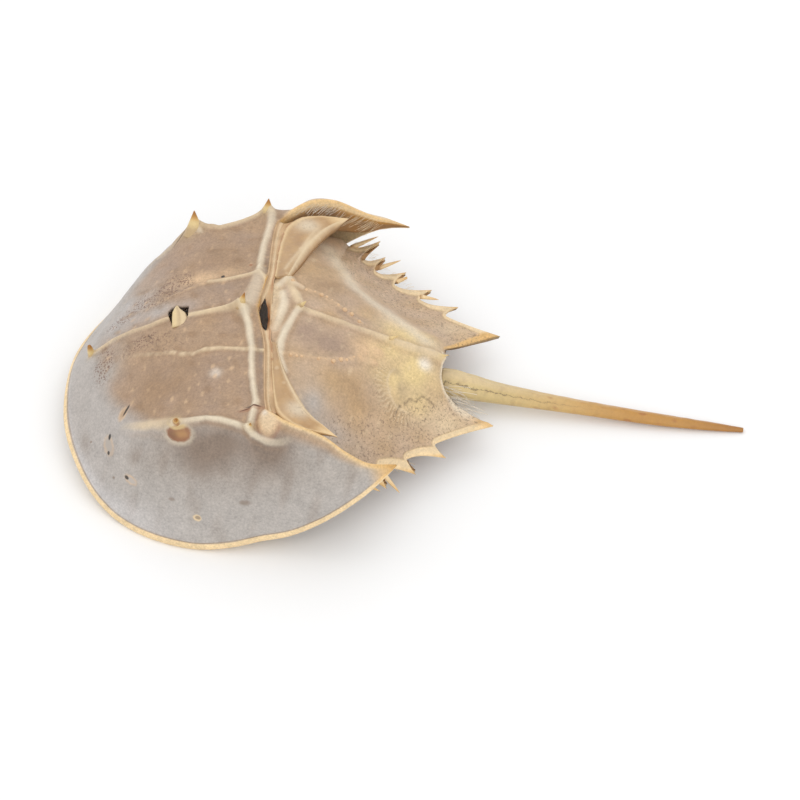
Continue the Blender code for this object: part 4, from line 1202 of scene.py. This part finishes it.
def wrinkleGroup():
    # short dark wavering wrinkles
    group, way, out = makeGroup("hornWrinkles", (("Mask", "Float", 1.0), ("Scale", "Float", 1050.0)),
                                (("Lines", "Float"),))
    coords = objectCoords(group)
    wander = noiseNode(group, coords, 1500.0, 2.0, 0.6)
    offset = group.nodes.new("ShaderNodeVectorMath")
    offset.operation = "MULTIPLY_ADD"
    group.links.new(wander.outputs["Color"], offset.inputs[0])
    offset.inputs[1].default_value = (0.0011, 0.0011, 0.0011)
    group.links.new(coords, offset.inputs[2])
    cells = group.nodes.new("ShaderNodeTexVoronoi")
    cells.feature = "DISTANCE_TO_EDGE"
    group.links.new(offset.outputs[0], cells.inputs["Vector"])
    group.links.new(way.outputs["Scale"], cells.inputs["Scale"])
    thin = rangeNode(group, cells.outputs["Distance"], 0.11, 0.02)
    gaps = rangeNode(group, noiseNode(group, coords, 1500.0, 2.0).outputs[0], 0.49, 0.59)
    broken = mathNode(group, "MULTIPLY", thin, gaps)
    group.links.new(mathNode(group, "MULTIPLY", broken, way.outputs["Mask"]), out.inputs["Lines"])
    return group


def markGroup():
    # one ragged-edged oval mark lying on the surface
    group, way, out = makeGroup("surfaceMark", (("Centre", "Vector", None), ("Along", "Vector", None),
                                                ("Across", "Vector", None), ("Soft", "Float", 0.2),
                                                ("Ragged", "Float", 0.3), ("Reach", "Float", 0.003)),
                                (("Mask", "Float"),))
    coords = objectCoords(group)
    offset = group.nodes.new("ShaderNodeVectorMath")
    offset.operation = "SUBTRACT"
    group.links.new(coords, offset.inputs[0])
    group.links.new(way.outputs["Centre"], offset.inputs[1])
    squares = []
    for label in ("Along", "Across"):
        dot = group.nodes.new("ShaderNodeVectorMath")
        dot.operation = "DOT_PRODUCT"
        group.links.new(offset.outputs[0], dot.inputs[0])
        group.links.new(way.outputs[label], dot.inputs[1])
        squares.append(mathNode(group, "MULTIPLY", dot.outputs["Value"], dot.outputs["Value"]))
    reach = mathNode(group, "SQRT", mathNode(group, "ADD", *squares))
    uneven = mathNode(group, "SUBTRACT", noiseNode(group, coords, 1600.0, 2.0).outputs[0], 0.5)
    reach = mathNode(group, "ADD", reach, mathNode(group, "MULTIPLY", uneven, way.outputs["Ragged"]))
    fade = group.nodes.new("ShaderNodeMapRange")
    fade.interpolation_type = "SMOOTHSTEP"
    group.links.new(reach, fade.inputs["Value"])
    group.links.new(mathNode(group, "ADD", 1.0, way.outputs["Soft"]), fade.inputs["From Min"])
    group.links.new(mathNode(group, "SUBTRACT", 1.0, way.outputs["Soft"]), fade.inputs["From Max"])
    length = group.nodes.new("ShaderNodeVectorMath")
    length.operation = "LENGTH"
    group.links.new(offset.outputs[0], length.inputs[0])
    close = mathNode(group, "LESS_THAN", length.outputs["Value"], way.outputs["Reach"])
    group.links.new(mathNode(group, "MULTIPLY", fade.outputs["Result"], close), out.inputs["Mask"])
    return group


groups = {"mottle": mottleGroup(), "pores": poreGroup(), "wrinkles": wrinkleGroup(), "mark": markGroup()}


def groupNode(tree, name, **values):
    node = tree.nodes.new("ShaderNodeGroup")
    node.node_tree = groups[name]
    for key, value in values.items():
        node.inputs[key].default_value = value
    return node


def hornMaterial(name, cloud=0.35, speckle=0.35, roughness=0.5, coat=0.1, bump=0.25, pores=0.0, wrinkles=0.0,
                 wrinkleScale=1050.0, tailLine=False, marks=()):
    material = bpy.data.materials.new(name)
    material.use_nodes = True
    tree = material.node_tree
    shader = tree.nodes["Principled BSDF"]
    tint = tree.nodes.new("ShaderNodeAttribute")
    tint.attribute_name = "tint"
    painted = tree.nodes.new("ShaderNodeAttribute")
    painted.attribute_name = "masks"
    parts = tree.nodes.new("ShaderNodeSeparateColor")
    tree.links.new(painted.outputs["Color"], parts.inputs[0])
    mottle = groupNode(tree, "mottle", Cloud=cloud)
    # glossy ridges are less speckled than the rest
    plain = mathNode(tree, "SUBTRACT", 1.0, mathNode(tree, "MULTIPLY", parts.outputs[2], 0.75))
    tree.links.new(mathNode(tree, "MULTIPLY", plain, speckle), mottle.inputs["Speckle"])
    tree.links.new(tint.outputs["Color"], mottle.inputs["Colour"])
    colour = mottle.outputs["Colour"]
    height = mathNode(tree, "MULTIPLY", mottle.outputs["Height"], 0.3)
    if pores:
        pits = groupNode(tree, "pores", Scale=2000.0)
        tree.links.new(parts.outputs[0], pits.inputs["Mask"])
        dark = mathNode(tree, "MULTIPLY", pits.outputs["Pits"], pores)
        colour = mixColour(tree, "MIX", dark, colour, palette["poreBrown"])
        height = mathNode(tree, "SUBTRACT", height, pits.outputs["Pits"])
    if wrinkles:
        lines = groupNode(tree, "wrinkles", Scale=wrinkleScale)
        tree.links.new(parts.outputs[1], lines.inputs["Mask"])
        dark = mathNode(tree, "MULTIPLY", lines.outputs["Lines"], wrinkles)
        colour = mixColour(tree, "MIX", dark, colour, palette["wrinkleBrown"])
        height = mathNode(tree, "SUBTRACT", height, lines.outputs["Lines"])
    if tailLine:
        wander = noiseNode(tree, objectCoords(tree), 900.0, 3.0, 0.7).outputs[0]
        wobble = mathNode(tree, "MULTIPLY", mathNode(tree, "SUBTRACT", wander, 0.5), 0.13)
        aside = mathNode(tree, "ADD", mathNode(tree, "SUBTRACT", parts.outputs[0], 0.385), wobble)
        thin = rangeNode(tree, mathNode(tree, "ABSOLUTE", aside), 0.012, 0.002)
        thin = mathNode(tree, "MULTIPLY", thin, rangeNode(tree, parts.outputs[1], 0.6, 0.15))
        colour = mixColour(tree, "MIX", mathNode(tree, "MULTIPLY", thin, 0.6), colour, palette["darkBrown"])
        height = mathNode(tree, "SUBTRACT", height, thin)
    for centre, along, across, tintName, amount, soft, ragged, reach in marks:
        spot = groupNode(tree, "mark", Centre=centre, Along=along, Across=across, Soft=soft, Ragged=ragged,
                         Reach=reach)
        part = mathNode(tree, "MULTIPLY", spot.outputs["Mask"], amount)
        colour = mixColour(tree, "MIX", part, colour, palette[tintName])
    tree.links.new(colour, shader.inputs["Base Color"])
    smooth = mathNode(tree, "MULTIPLY", parts.outputs[2], 0.12)
    rough = mathNode(tree, "ADD", roughness-0.05, mathNode(tree, "MULTIPLY", mottle.outputs["Height"], 0.15))
    tree.links.new(mathNode(tree, "SUBTRACT", rough, smooth), shader.inputs["Roughness"])
    shader.inputs["Coat Weight"].default_value = coat
    shader.inputs["Coat Roughness"].default_value = 0.3
    ridges = tree.nodes.new("ShaderNodeBump")
    ridges.inputs["Strength"].default_value = bump
    ridges.inputs["Distance"].default_value = 0.0003
    tree.links.new(height, ridges.inputs["Height"])
    tree.links.new(ridges.outputs[0], shader.inputs["Normal"])
    return material


def bristleMaterial(name, colour, deep):
    material = bpy.data.materials.new(name)
    material.use_nodes = True
    tree = material.node_tree
    shader = tree.nodes["Principled BSDF"]
    uneven = noiseNode(tree, objectCoords(tree), 700.0, 2.0).outputs[0]
    mixed = mixColour(tree, "MIX", uneven, palette[colour], palette[deep])
    tree.links.new(mixed, shader.inputs["Base Color"])
    shader.inputs["Roughness"].default_value = 0.45
    return material


# marks on the front shield: spot in plan and lift where it lies on a steep part, plan direction,
# half length, half width, colour, strength, softness, raggedness
shieldMarks = (
    ((32.0, -33.5, None), (1.0, 0.3), 2.6, 1.9, "flankShade", 0.4, 0.9, 1.2),
    ((37.8, -31.5, None), (1.0, -0.2), 2.6, 1.6, "flankShade", 0.35, 0.9, 1.2),
    ((7.2, -19.5, None), (0.3, -1.0), 2.4, 1.2, "flankShade", 0.3, 0.9, 1.2),
    ((18.5, -28.5, None), (1.0, 0.2), 2.0, 1.3, "flankShade", 0.3, 0.9, 1.2),
    ((15.3, -19.0, None), (1.6, 1.4), 1.60, 1.05, "pinkCream", 0.65, 0.35, 0.5),
    ((15.3, -19.0, None), (1.6, 1.4), 1.20, 0.65, "tan", 0.6, 0.45, 0.6),
    ((16.0, -18.6, None), (1.6, 1.4), 1.30, 0.30, "nearBlack", 0.9, 0.35, 0.5),
    ((12.6, -23.3, None), (0.1, -2.5), 2.2, 1.45, "pinkCream", 0.55, 0.3, 0.5),
    ((12.6, -23.3, None), (0.1, -2.5), 1.8, 1.05, "flankGrey", 0.9, 0.4, 0.5),
    ((12.7, -21.9, None), (0.8, 1.0), 0.60, 0.42, "nearBlack", 0.95, 0.3, 0.5),
    ((12.7, -24.6, None), (0.4, 1.0), 0.40, 0.38, "nearBlack", 0.9, 0.3, 0.5),
    ((18.0, -31.2, None), (2.3, -1.6), 1.60, 0.95, "pinkCream", 0.65, 0.35, 0.5),
    ((18.1, -31.3, None), (2.3, -1.6), 1.20, 0.60, "flankLight", 0.8, 0.4, 0.5),
    ((17.1, -30.5, None), (2.3, -1.4), 0.55, 0.42, "nearBlack", 0.9, 0.3, 0.4),
    ((32.3, -38.5, None), (1.6, -0.5), 0.85, 0.75, "gold", 0.8, 0.3, 0.4),
    ((32.4, -38.5, None), (1.6, -0.5), 0.58, 0.45, "flankShade", 0.75, 0.35, 0.4),
    ((41.9, -38.2, None), (1.0, 0.0), 1.1, 0.60, "flankShade", 0.7, 0.6, 0.6),
    ((26.8, -35.9, None), (1.0, 0.0), 0.7, 0.40, "flankShade", 0.6, 0.6, 0.6),
    ((14.2, -29.0, None), (1.0, 0.3), 0.35, 0.30, "flankShade", 0.8, 0.6, 0.6),
    ((8.4, -20.0, None), (1.0, 0.0), 0.35, 0.25, "flankShade", 0.8, 0.6, 0.6),
    ((27.6, -29.0, 22.8), (1.0, 0.0), 3.1, 2.3, "paleBone", 0.5, 0.25, 0.3),
    ((27.6, -28.9, 23.1), (1.0, 0.0), 2.5, 1.8, "eyeBrown", 0.95, 0.16, 0.3),
    ((28.0, -28.8, 23.0), (1.0, 0.0), 1.4, 0.8, "orangeGold", 0.3, 0.8, 0.8),
    ((26.3, -29.1, 22.8), (1.0, 0.0), 0.9, 0.9, "darkBrown", 0.3, 0.8, 0.8),
    ((27.5, -28.3, 24.4), (1.0, 0.0), 1.6, 0.55, "yellowHorn", 0.7, 0.45, 0.3),
    ((27.6, 28.9, 22.9), (1.0, 0.0), 3.1, 2.4, "paleBone", 0.5, 0.25, 0.3),
    ((27.6, 28.8, 23.3), (1.0, 0.0), 2.5, 1.95, "eyeBrown", 0.95, 0.16, 0.3),
    ((34.4, 10.6, None), (1.0, 0.3), 0.42, 0.36, "nearBlack", 0.95, 0.3, 0.5),
    ((40.2, 13.2, None), (1.0, 0.3), 0.35, 0.30, "rust", 0.7, 0.5, 0.5),
    ((40.9, -25.5, None), (1.2, 0.35), 1.1, 0.15, "darkBrown", 0.95, 0.4, 0.6),
    ((42.7, -25.1, None), (1.0, 0.02), 1.3, 0.18, "nearBlack", 0.95, 0.4, 0.6),
    ((41.9, -25.5, None), (1.0, 0.1), 2.0, 0.45, "rust", 0.4, 0.5, 0.6),
    ((26.9, -28.0, 26.2), (1.0, 0.0), 0.60, 0.60, "amber", 0.85, 0.5, 0.3),
    ((24.0, 25.6, None), (1.0, 0.8), 2.4, 0.14, "darkBrown", 0.7, 0.5, 1.6),
    ((27.5, 26.3, None), (1.0, -0.6), 1.6, 0.70, "paleBone", 0.6, 0.6, 1.2),
    ((19.7, -2.9, None), (1.0, -1.0), 0.9, 0.14, "darkBrown", 0.6, 0.5, 0.9),
)


def markVectors(tree, table):
    rows = []
    for (x, y, lift), way, halfLong, halfWide, colour, amount, soft, ragged in table:
        if lift is None:
            spot, normal = topSpot(tree, x, y)
        else:
            spot, normal, _, _ = tree.find_nearest(Vector(place((x, y, lift))))
        along = Vector((way[0], way[1], 0.0))
        along = (along-normal*along.dot(normal)).normalized()
        across = normal.cross(along).normalized()
        mm = layout["mm"]
        rows.append((spot, along/(halfLong*mm), across/(halfWide*mm), colour, amount, soft, ragged,
                     (1.5*max(halfLong, halfWide)+0.6)*mm))
    return rows


def addInputs(tree, kinds):
    tree.interface.new_socket(name="Geometry", in_out="INPUT", socket_type="NodeSocketGeometry")
    for label, kind, value in kinds:
        made = tree.interface.new_socket(name=label, in_out="INPUT", socket_type="NodeSocket"+kind)
        if value is not None:
            made.default_value = value
    tree.interface.new_socket(name="Geometry", in_out="OUTPUT", socket_type="NodeSocketGeometry")
    return tree.nodes.new("NodeGroupInput"), tree.nodes.new("NodeGroupOutput")


def finishTree(tree, way, out, geometry):
    # the copies made real and given the tree's material
    real = tree.nodes.new("GeometryNodeRealizeInstances")
    paint = tree.nodes.new("GeometryNodeSetMaterial")
    tree.links.new(geometry, real.inputs["Geometry"])
    tree.links.new(real.outputs["Geometry"], paint.inputs["Geometry"])
    tree.links.new(way.outputs["Material"], paint.inputs["Material"])
    tree.links.new(paint.outputs["Geometry"], out.inputs["Geometry"])
    return tree


def namedValue(tree, name, kind="FLOAT"):
    node = tree.nodes.new("GeometryNodeInputNamedAttribute")
    node.data_type = kind
    node.inputs["Name"].default_value = name
    return node.outputs[0]


def bristleTree():
    # curved bristles, each standing on a point along the point's own aim
    tree = bpy.data.node_groups.new("bristles", "GeometryNodeTree")
    way, out = addInputs(tree, (("Thickness", "Float", 0.02), ("Spread", "Float", 0.35),
                                ("Bend", "Float", 0.2), ("Seed", "Int", 1), ("Material", "Material", None)))
    hair = tree.nodes.new("GeometryNodeCurveQuadraticBezier")
    hair.inputs["Resolution"].default_value = 5
    hair.inputs["Start"].default_value = (0, 0, 0)
    hair.inputs["Middle"].default_value = (0.0, 0, 0.5)
    bend = tree.nodes.new("ShaderNodeCombineXYZ")
    bend.inputs["Z"].default_value = 1.0
    tree.links.new(way.outputs["Bend"], bend.inputs["X"])
    tree.links.new(bend.outputs[0], hair.inputs["End"])
    ring = tree.nodes.new("GeometryNodeCurvePrimitiveCircle")
    ring.inputs["Resolution"].default_value = 3
    tube = tree.nodes.new("GeometryNodeCurveToMesh")
    tube.inputs["Fill Caps"].default_value = True
    chance = tree.nodes.new("FunctionNodeRandomValue")
    chance.data_type = "FLOAT_VECTOR"
    chance.inputs[0].default_value = (-1, -1, -1)
    chance.inputs[1].default_value = (1, 1, 1)
    wide = tree.nodes.new("ShaderNodeVectorMath")
    wide.operation = "SCALE"
    toward = tree.nodes.new("ShaderNodeVectorMath")
    turn = tree.nodes.new("FunctionNodeAlignRotationToVector")
    turn.axis = "Z"
    spread = tree.nodes.new("GeometryNodeInstanceOnPoints")
    tree.links.new(way.outputs["Thickness"], ring.inputs["Radius"])
    tree.links.new(hair.outputs["Curve"], tube.inputs["Curve"])
    tree.links.new(ring.outputs["Curve"], tube.inputs["Profile Curve"])
    tree.links.new(way.outputs["Seed"], chance.inputs["Seed"])
    tree.links.new(chance.outputs[0], wide.inputs[0])
    tree.links.new(way.outputs["Spread"], wide.inputs["Scale"])
    tree.links.new(wide.outputs[0], toward.inputs[0])
    tree.links.new(namedValue(tree, "aim", "FLOAT_VECTOR"), toward.inputs[1])
    tree.links.new(toward.outputs[0], turn.inputs["Vector"])
    tree.links.new(way.outputs["Geometry"], spread.inputs["Points"])
    tree.links.new(tube.outputs["Mesh"], spread.inputs["Instance"])
    tree.links.new(turn.outputs[0], spread.inputs["Rotation"])
    tree.links.new(namedValue(tree, "size"), spread.inputs["Scale"])
    return finishTree(tree, way, out, spread.outputs["Instances"])


def granuleTree():
    # small rounded knobs of uneven size, one on each point
    tree = bpy.data.node_groups.new("granules", "GeometryNodeTree")
    way, out = addInputs(tree, (("Least", "Float", 0.7), ("Most", "Float", 1.2), ("Seed", "Int", 1),
                                ("Material", "Material", None)))
    ball = tree.nodes.new("GeometryNodeMeshIcoSphere")
    ball.inputs["Radius"].default_value = 1.0
    ball.inputs["Subdivisions"].default_value = 3
    chance = tree.nodes.new("FunctionNodeRandomValue")
    chance.data_type = "FLOAT"
    tree.links.new(way.outputs["Least"], chance.inputs[2])
    tree.links.new(way.outputs["Most"], chance.inputs[3])
    tree.links.new(way.outputs["Seed"], chance.inputs["Seed"])
    size = mathNode(tree, "MULTIPLY", chance.outputs[1], namedValue(tree, "size"))
    spread = tree.nodes.new("GeometryNodeInstanceOnPoints")
    tree.links.new(way.outputs["Geometry"], spread.inputs["Points"])
    tree.links.new(ball.outputs["Mesh"], spread.inputs["Instance"])
    tree.links.new(size, spread.inputs["Scale"])
    return finishTree(tree, way, out, spread.outputs["Instances"])


def pointCloud(name, spots, sizes, aims=None):
    # bare points in metres with a size and an aim for each
    mesh = bpy.data.meshes.new(name)
    mesh.from_pydata([tuple(p) for p in spots], [], [])
    layer = mesh.attributes.new("size", "FLOAT", "POINT")
    layer.data.foreach_set("value", np.asarray(sizes, np.float32))
    if aims is not None:
        layer = mesh.attributes.new("aim", "FLOAT_VECTOR", "POINT")
        layer.data.foreach_set("vector", np.asarray(aims, np.float32).ravel())
    return addItem(name, mesh)


def grownMesh(item, tree, **values):
    # runs a tree on an object and keeps the result as a plain mesh
    step = item.modifiers.new("grow", "NODES")
    step.node_group = tree
    for entry in tree.interface.items_tree:
        if entry.in_out == "INPUT" and entry.name in values:
            step[entry.identifier] = values[entry.name]
    result = item.evaluated_get(bpy.context.evaluated_depsgraph_get())
    mesh = bpy.data.meshes.new_from_object(result)
    item.modifiers.clear()
    item.data = mesh
    mesh.shade_smooth()
    return item


def settle(item, material=None, node=None):
    # gives a finished piece its finish and its body, and hides the imported solid it stands for
    if material:
        item.data.materials.clear()
        item.data.materials.append(material)
    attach(item, "root")
    if node:
        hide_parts(node)


shell = buildFrontShield(frontShieldShape)
shellTree = surfaceTree(shell)
shellMarks = markVectors(shellTree, shieldMarks)
flap = buildFlap(frontShieldShape, shellTree)
cutHole(shell, frontShieldShape["hole"], 0.018)
shell.data.shade_smooth()
print("front shield", len(shell.data.vertices))

materials = {
    "frontHorn": hornMaterial("frontHorn", pores=0.8, wrinkles=0.45, cloud=0.75, speckle=0.9,
                              marks=shellMarks),
    "rearHorn": hornMaterial("rearHorn", pores=0.4, wrinkles=0.6, wrinkleScale=1150.0, cloud=0.75,
                             speckle=0.8),
    "paleHorn": hornMaterial("paleHorn", wrinkles=0.3, wrinkleScale=1500.0, cloud=0.3, speckle=0.35),
    "tailHorn": hornMaterial("tailHorn", cloud=0.35, speckle=0.6, tailLine=True, roughness=0.45),
    "paleBristle": bristleMaterial("paleBristle", "paleBone", "gold"),
    "whiteBristle": bristleMaterial("whiteBristle", "glint", "paleBone"),
}
print("materials made")

settle(shell, materials["frontHorn"], "front_shield")
settle(flap, materials["paleHorn"])
for i, thorn in enumerate(frontShieldShape["thorns"]):
    settle(buildThorn(f"shieldThorn{i+1}", thorn), materials["paleHorn"])

plate = buildRearShield(rearShieldShape)
plateTree = surfaceTree(plate)
settle(plate, materials["rearHorn"], "rear_shield")
for i, thorn in enumerate(rearShieldShape["thorns"]):
    settle(buildThorn(f"plateThorn{i+1}", thorn), materials["paleHorn"])
for side, word in ((1, "Right"), (-1, "Left")):
    settle(buildLobe(lobeShape, side, word), materials["paleHorn"])
for skin in buildHingeSkin(hingeShape, frontShieldShape):
    settle(skin, materials["paleHorn"])
print("rear shield", len(plate.data.vertices))

settle(buildTail(tailShape), materials["tailHorn"], "tail_spine")
for node, values in edgeSpines.items():
    settle(buildEdgeSpine(node, *values), materials["paleHorn"], node)
print("tail and edge spines made")

granules = granuleTree()
bristles = bristleTree()
knobs = [topSpot(plateTree, x, y)[0] for x, y in rearShieldShape["farDots"]+rearShieldShape["nearDots"]]
shake = np.random.default_rng(11)
knobs = [k+Vector((*shake.uniform(-0.0003, 0.0003, 2), -shake.uniform(0.0001, 0.0004))) for k in knobs]
knobItem = grownMesh(pointCloud("furrowKnobs", knobs, [0.00046]*len(knobs)), granules, Least=0.65, Most=1.25,
                     Seed=4, Material=materials["paleHorn"])
paintVerts(knobItem, "tint", np.ones((len(knobItem.data.vertices), 3))*palette["pinkCream"])
paintVerts(knobItem, "masks", np.zeros((len(knobItem.data.vertices), 3)))
settle(knobItem)

bristleBeds = {
    # name: path of roots, number of bristles, rows apart, aim, length, thickness, spread, seed, finish, slot
    "wingBristles": (((58.0, 32.9, 23.6), (60.5, 33.2, 22.8), (62.5, 33.4, 21.8), (64.5, 33.5, 20.9),
                      (66.5, 33.5, 20.0)),
                     44, (0.7, 0.4, 0.9), (-0.85, -0.30, -0.55), (2.2, 4.4), 0.009, 0.15, 3,
                     "paleBristle", "front_shield"),
    "hingeBristles": (((50.5, 30.6, 27.5), (53.5, 31.9, 27.4), (56.5, 32.5, 26.3), (58.5, 32.8, 25.2)),
                      70, (0.5, 0.4, 0.8), (-0.75, -0.45, -0.45), (1.6, 3.4), 0.014, 0.2, 8,
                      "whiteBristle", "front_shield"),
    "tailBristles": (((80.9, -3.4, 8.6), (82.2, -5.0, 7.4), (83.6, -7.4, 7.6), (85.0, -9.2, 7.4)),
                     46, (0.3, 0.4, 0.5), (0.85, -0.35, -0.12), (3.0, 6.5), 0.008, 0.35, 5,
                     "whiteBristle", "rear_shield"),
    "notchBristles": (((60.0, 34.9, 12.0), (62.4, 33.0, 11.0), (65.2, 30.0, 9.8), (69.4, 26.8, 8.6),
                       (75.0, 22.6, 7.5)), 60, (0.6, 0.6, 0.3), (0.8, 0.5, -0.05), (0.8, 1.8), 0.02, 0.5, 6,
                      "paleBristle", "rear_shield"),
    "leftNotchBristles": (((60.0, -34.9, 12.0), (65.2, -30.0, 9.8), (69.4, -26.8, 8.6), (75.0, -22.6, 7.5)),
                          40, (0.6, 0.6, 0.3), (0.8, -0.5, -0.05), (0.8, 1.8), 0.02, 0.5, 7,
                          "paleBristle", "rear_shield"),
}
for name, bed in bristleBeds.items():
    path, number, apart, aim, lengths, thick, spread, seed, finish, slot = bed
    source = np.random.default_rng(seed)
    path = np.array(path)
    at = source.uniform(0, len(path)-1, number)
    low = np.minimum(at.astype(int), len(path)-2)
    roots = path[low]+(path[low+1]-path[low])*(at-low)[:, None]+source.uniform(-1, 1, (number, 3))*apart
    sizes = source.uniform(*lengths, number)*layout["mm"]
    aims = np.array(aim)[None]*np.ones((number, 3))
    bed = grownMesh(pointCloud(name, place(roots), sizes, aims), bristles, Thickness=thick, Spread=spread,
                    Bend=0.25, Seed=seed, Material=materials[finish])
    settle(bed)
print("knobs and bristles made")

camera = {"lens": 99.77, "turn": 0.81, "rise": 49.73, "roll": -0.17, "distance": 478.3,
          "target": (71.484, -0.084, 0.0)}
turn, rise, roll = (math.radians(camera[k]) for k in ("turn", "rise", "roll"))
backward = np.array((math.sin(turn)*math.cos(rise), -math.cos(turn)*math.cos(rise), math.sin(rise)))
right = np.array((math.cos(turn), math.sin(turn), 0.0))
upward = np.cross(backward, right)
right, upward = (right*math.cos(roll)+upward*math.sin(roll), upward*math.cos(roll)-right*math.sin(roll))
target = np.array(camera["target"])-np.array((layout["originX"], 0, 0))
eye = (target+backward*camera["distance"])*layout["mm"]
cameraData = bpy.data.cameras.new("photoCamera")
cameraData.sensor_width = 36
cameraData.lens = camera["lens"]
cameraData.clip_start = 0.01
cameraItem = addItem("photoCamera", cameraData)
pose = [(right[i], upward[i], backward[i], eye[i]) for i in range(3)]
cameraItem.matrix_world = Matrix(pose+[(0, 0, 0, 1)])
bpy.context.scene.camera = cameraItem

studio = {
    "floorHalf": 3.0,
    "floorColour": (0.93, 0.93, 0.93),
    "skyStrength": 0.89,
    # area lamps: place, aim, size, watts
    "lamps": (
        ("overheadSoftbox", (-0.40, 0.6, 1.0), (0, 0, 0), 1.5, 3.4),
        ("sideFill", (0.3, -0.8, 0.9), (0, 0, 0), 1.2, 3.5),
    ),
}
floorMesh = bpy.data.meshes.new("paleTable")
half = studio["floorHalf"]
corners = [(-half, -half, 0), (half, -half, 0), (half, half, 0), (-half, half, 0)]
floorMesh.from_pydata(corners, [], [(0, 1, 2, 3)])
floorItem = addItem("paleTable", floorMesh)
floorMaterial = bpy.data.materials.new("paleTable")
floorMaterial.use_nodes = True
floorShader = floorMaterial.node_tree.nodes["Principled BSDF"]
floorShader.inputs["Base Color"].default_value = (*studio["floorColour"], 1)
floorShader.inputs["Roughness"].default_value = 0.9
floorMesh.materials.append(floorMaterial)
for name, spot, aim, size, watts in studio["lamps"]:
    lamp = bpy.data.lights.new(name, "AREA")
    lamp.energy = watts
    lamp.size = size
    lampItem = addItem(name, lamp)
    lampItem.location = spot
    lampItem.rotation_euler = (Vector(aim)-Vector(spot)).to_track_quat("-Z", "Y").to_euler()
world = bpy.data.worlds.new("paleSky")
world.use_nodes = True
world.node_tree.nodes["Background"].inputs[0].default_value = (1, 1, 1, 1)
world.node_tree.nodes["Background"].inputs[1].default_value = studio["skyStrength"]
bpy.context.scene.world = world
bpy.context.scene.view_settings.view_transform = "Standard"
print("camera, table and lamps set")
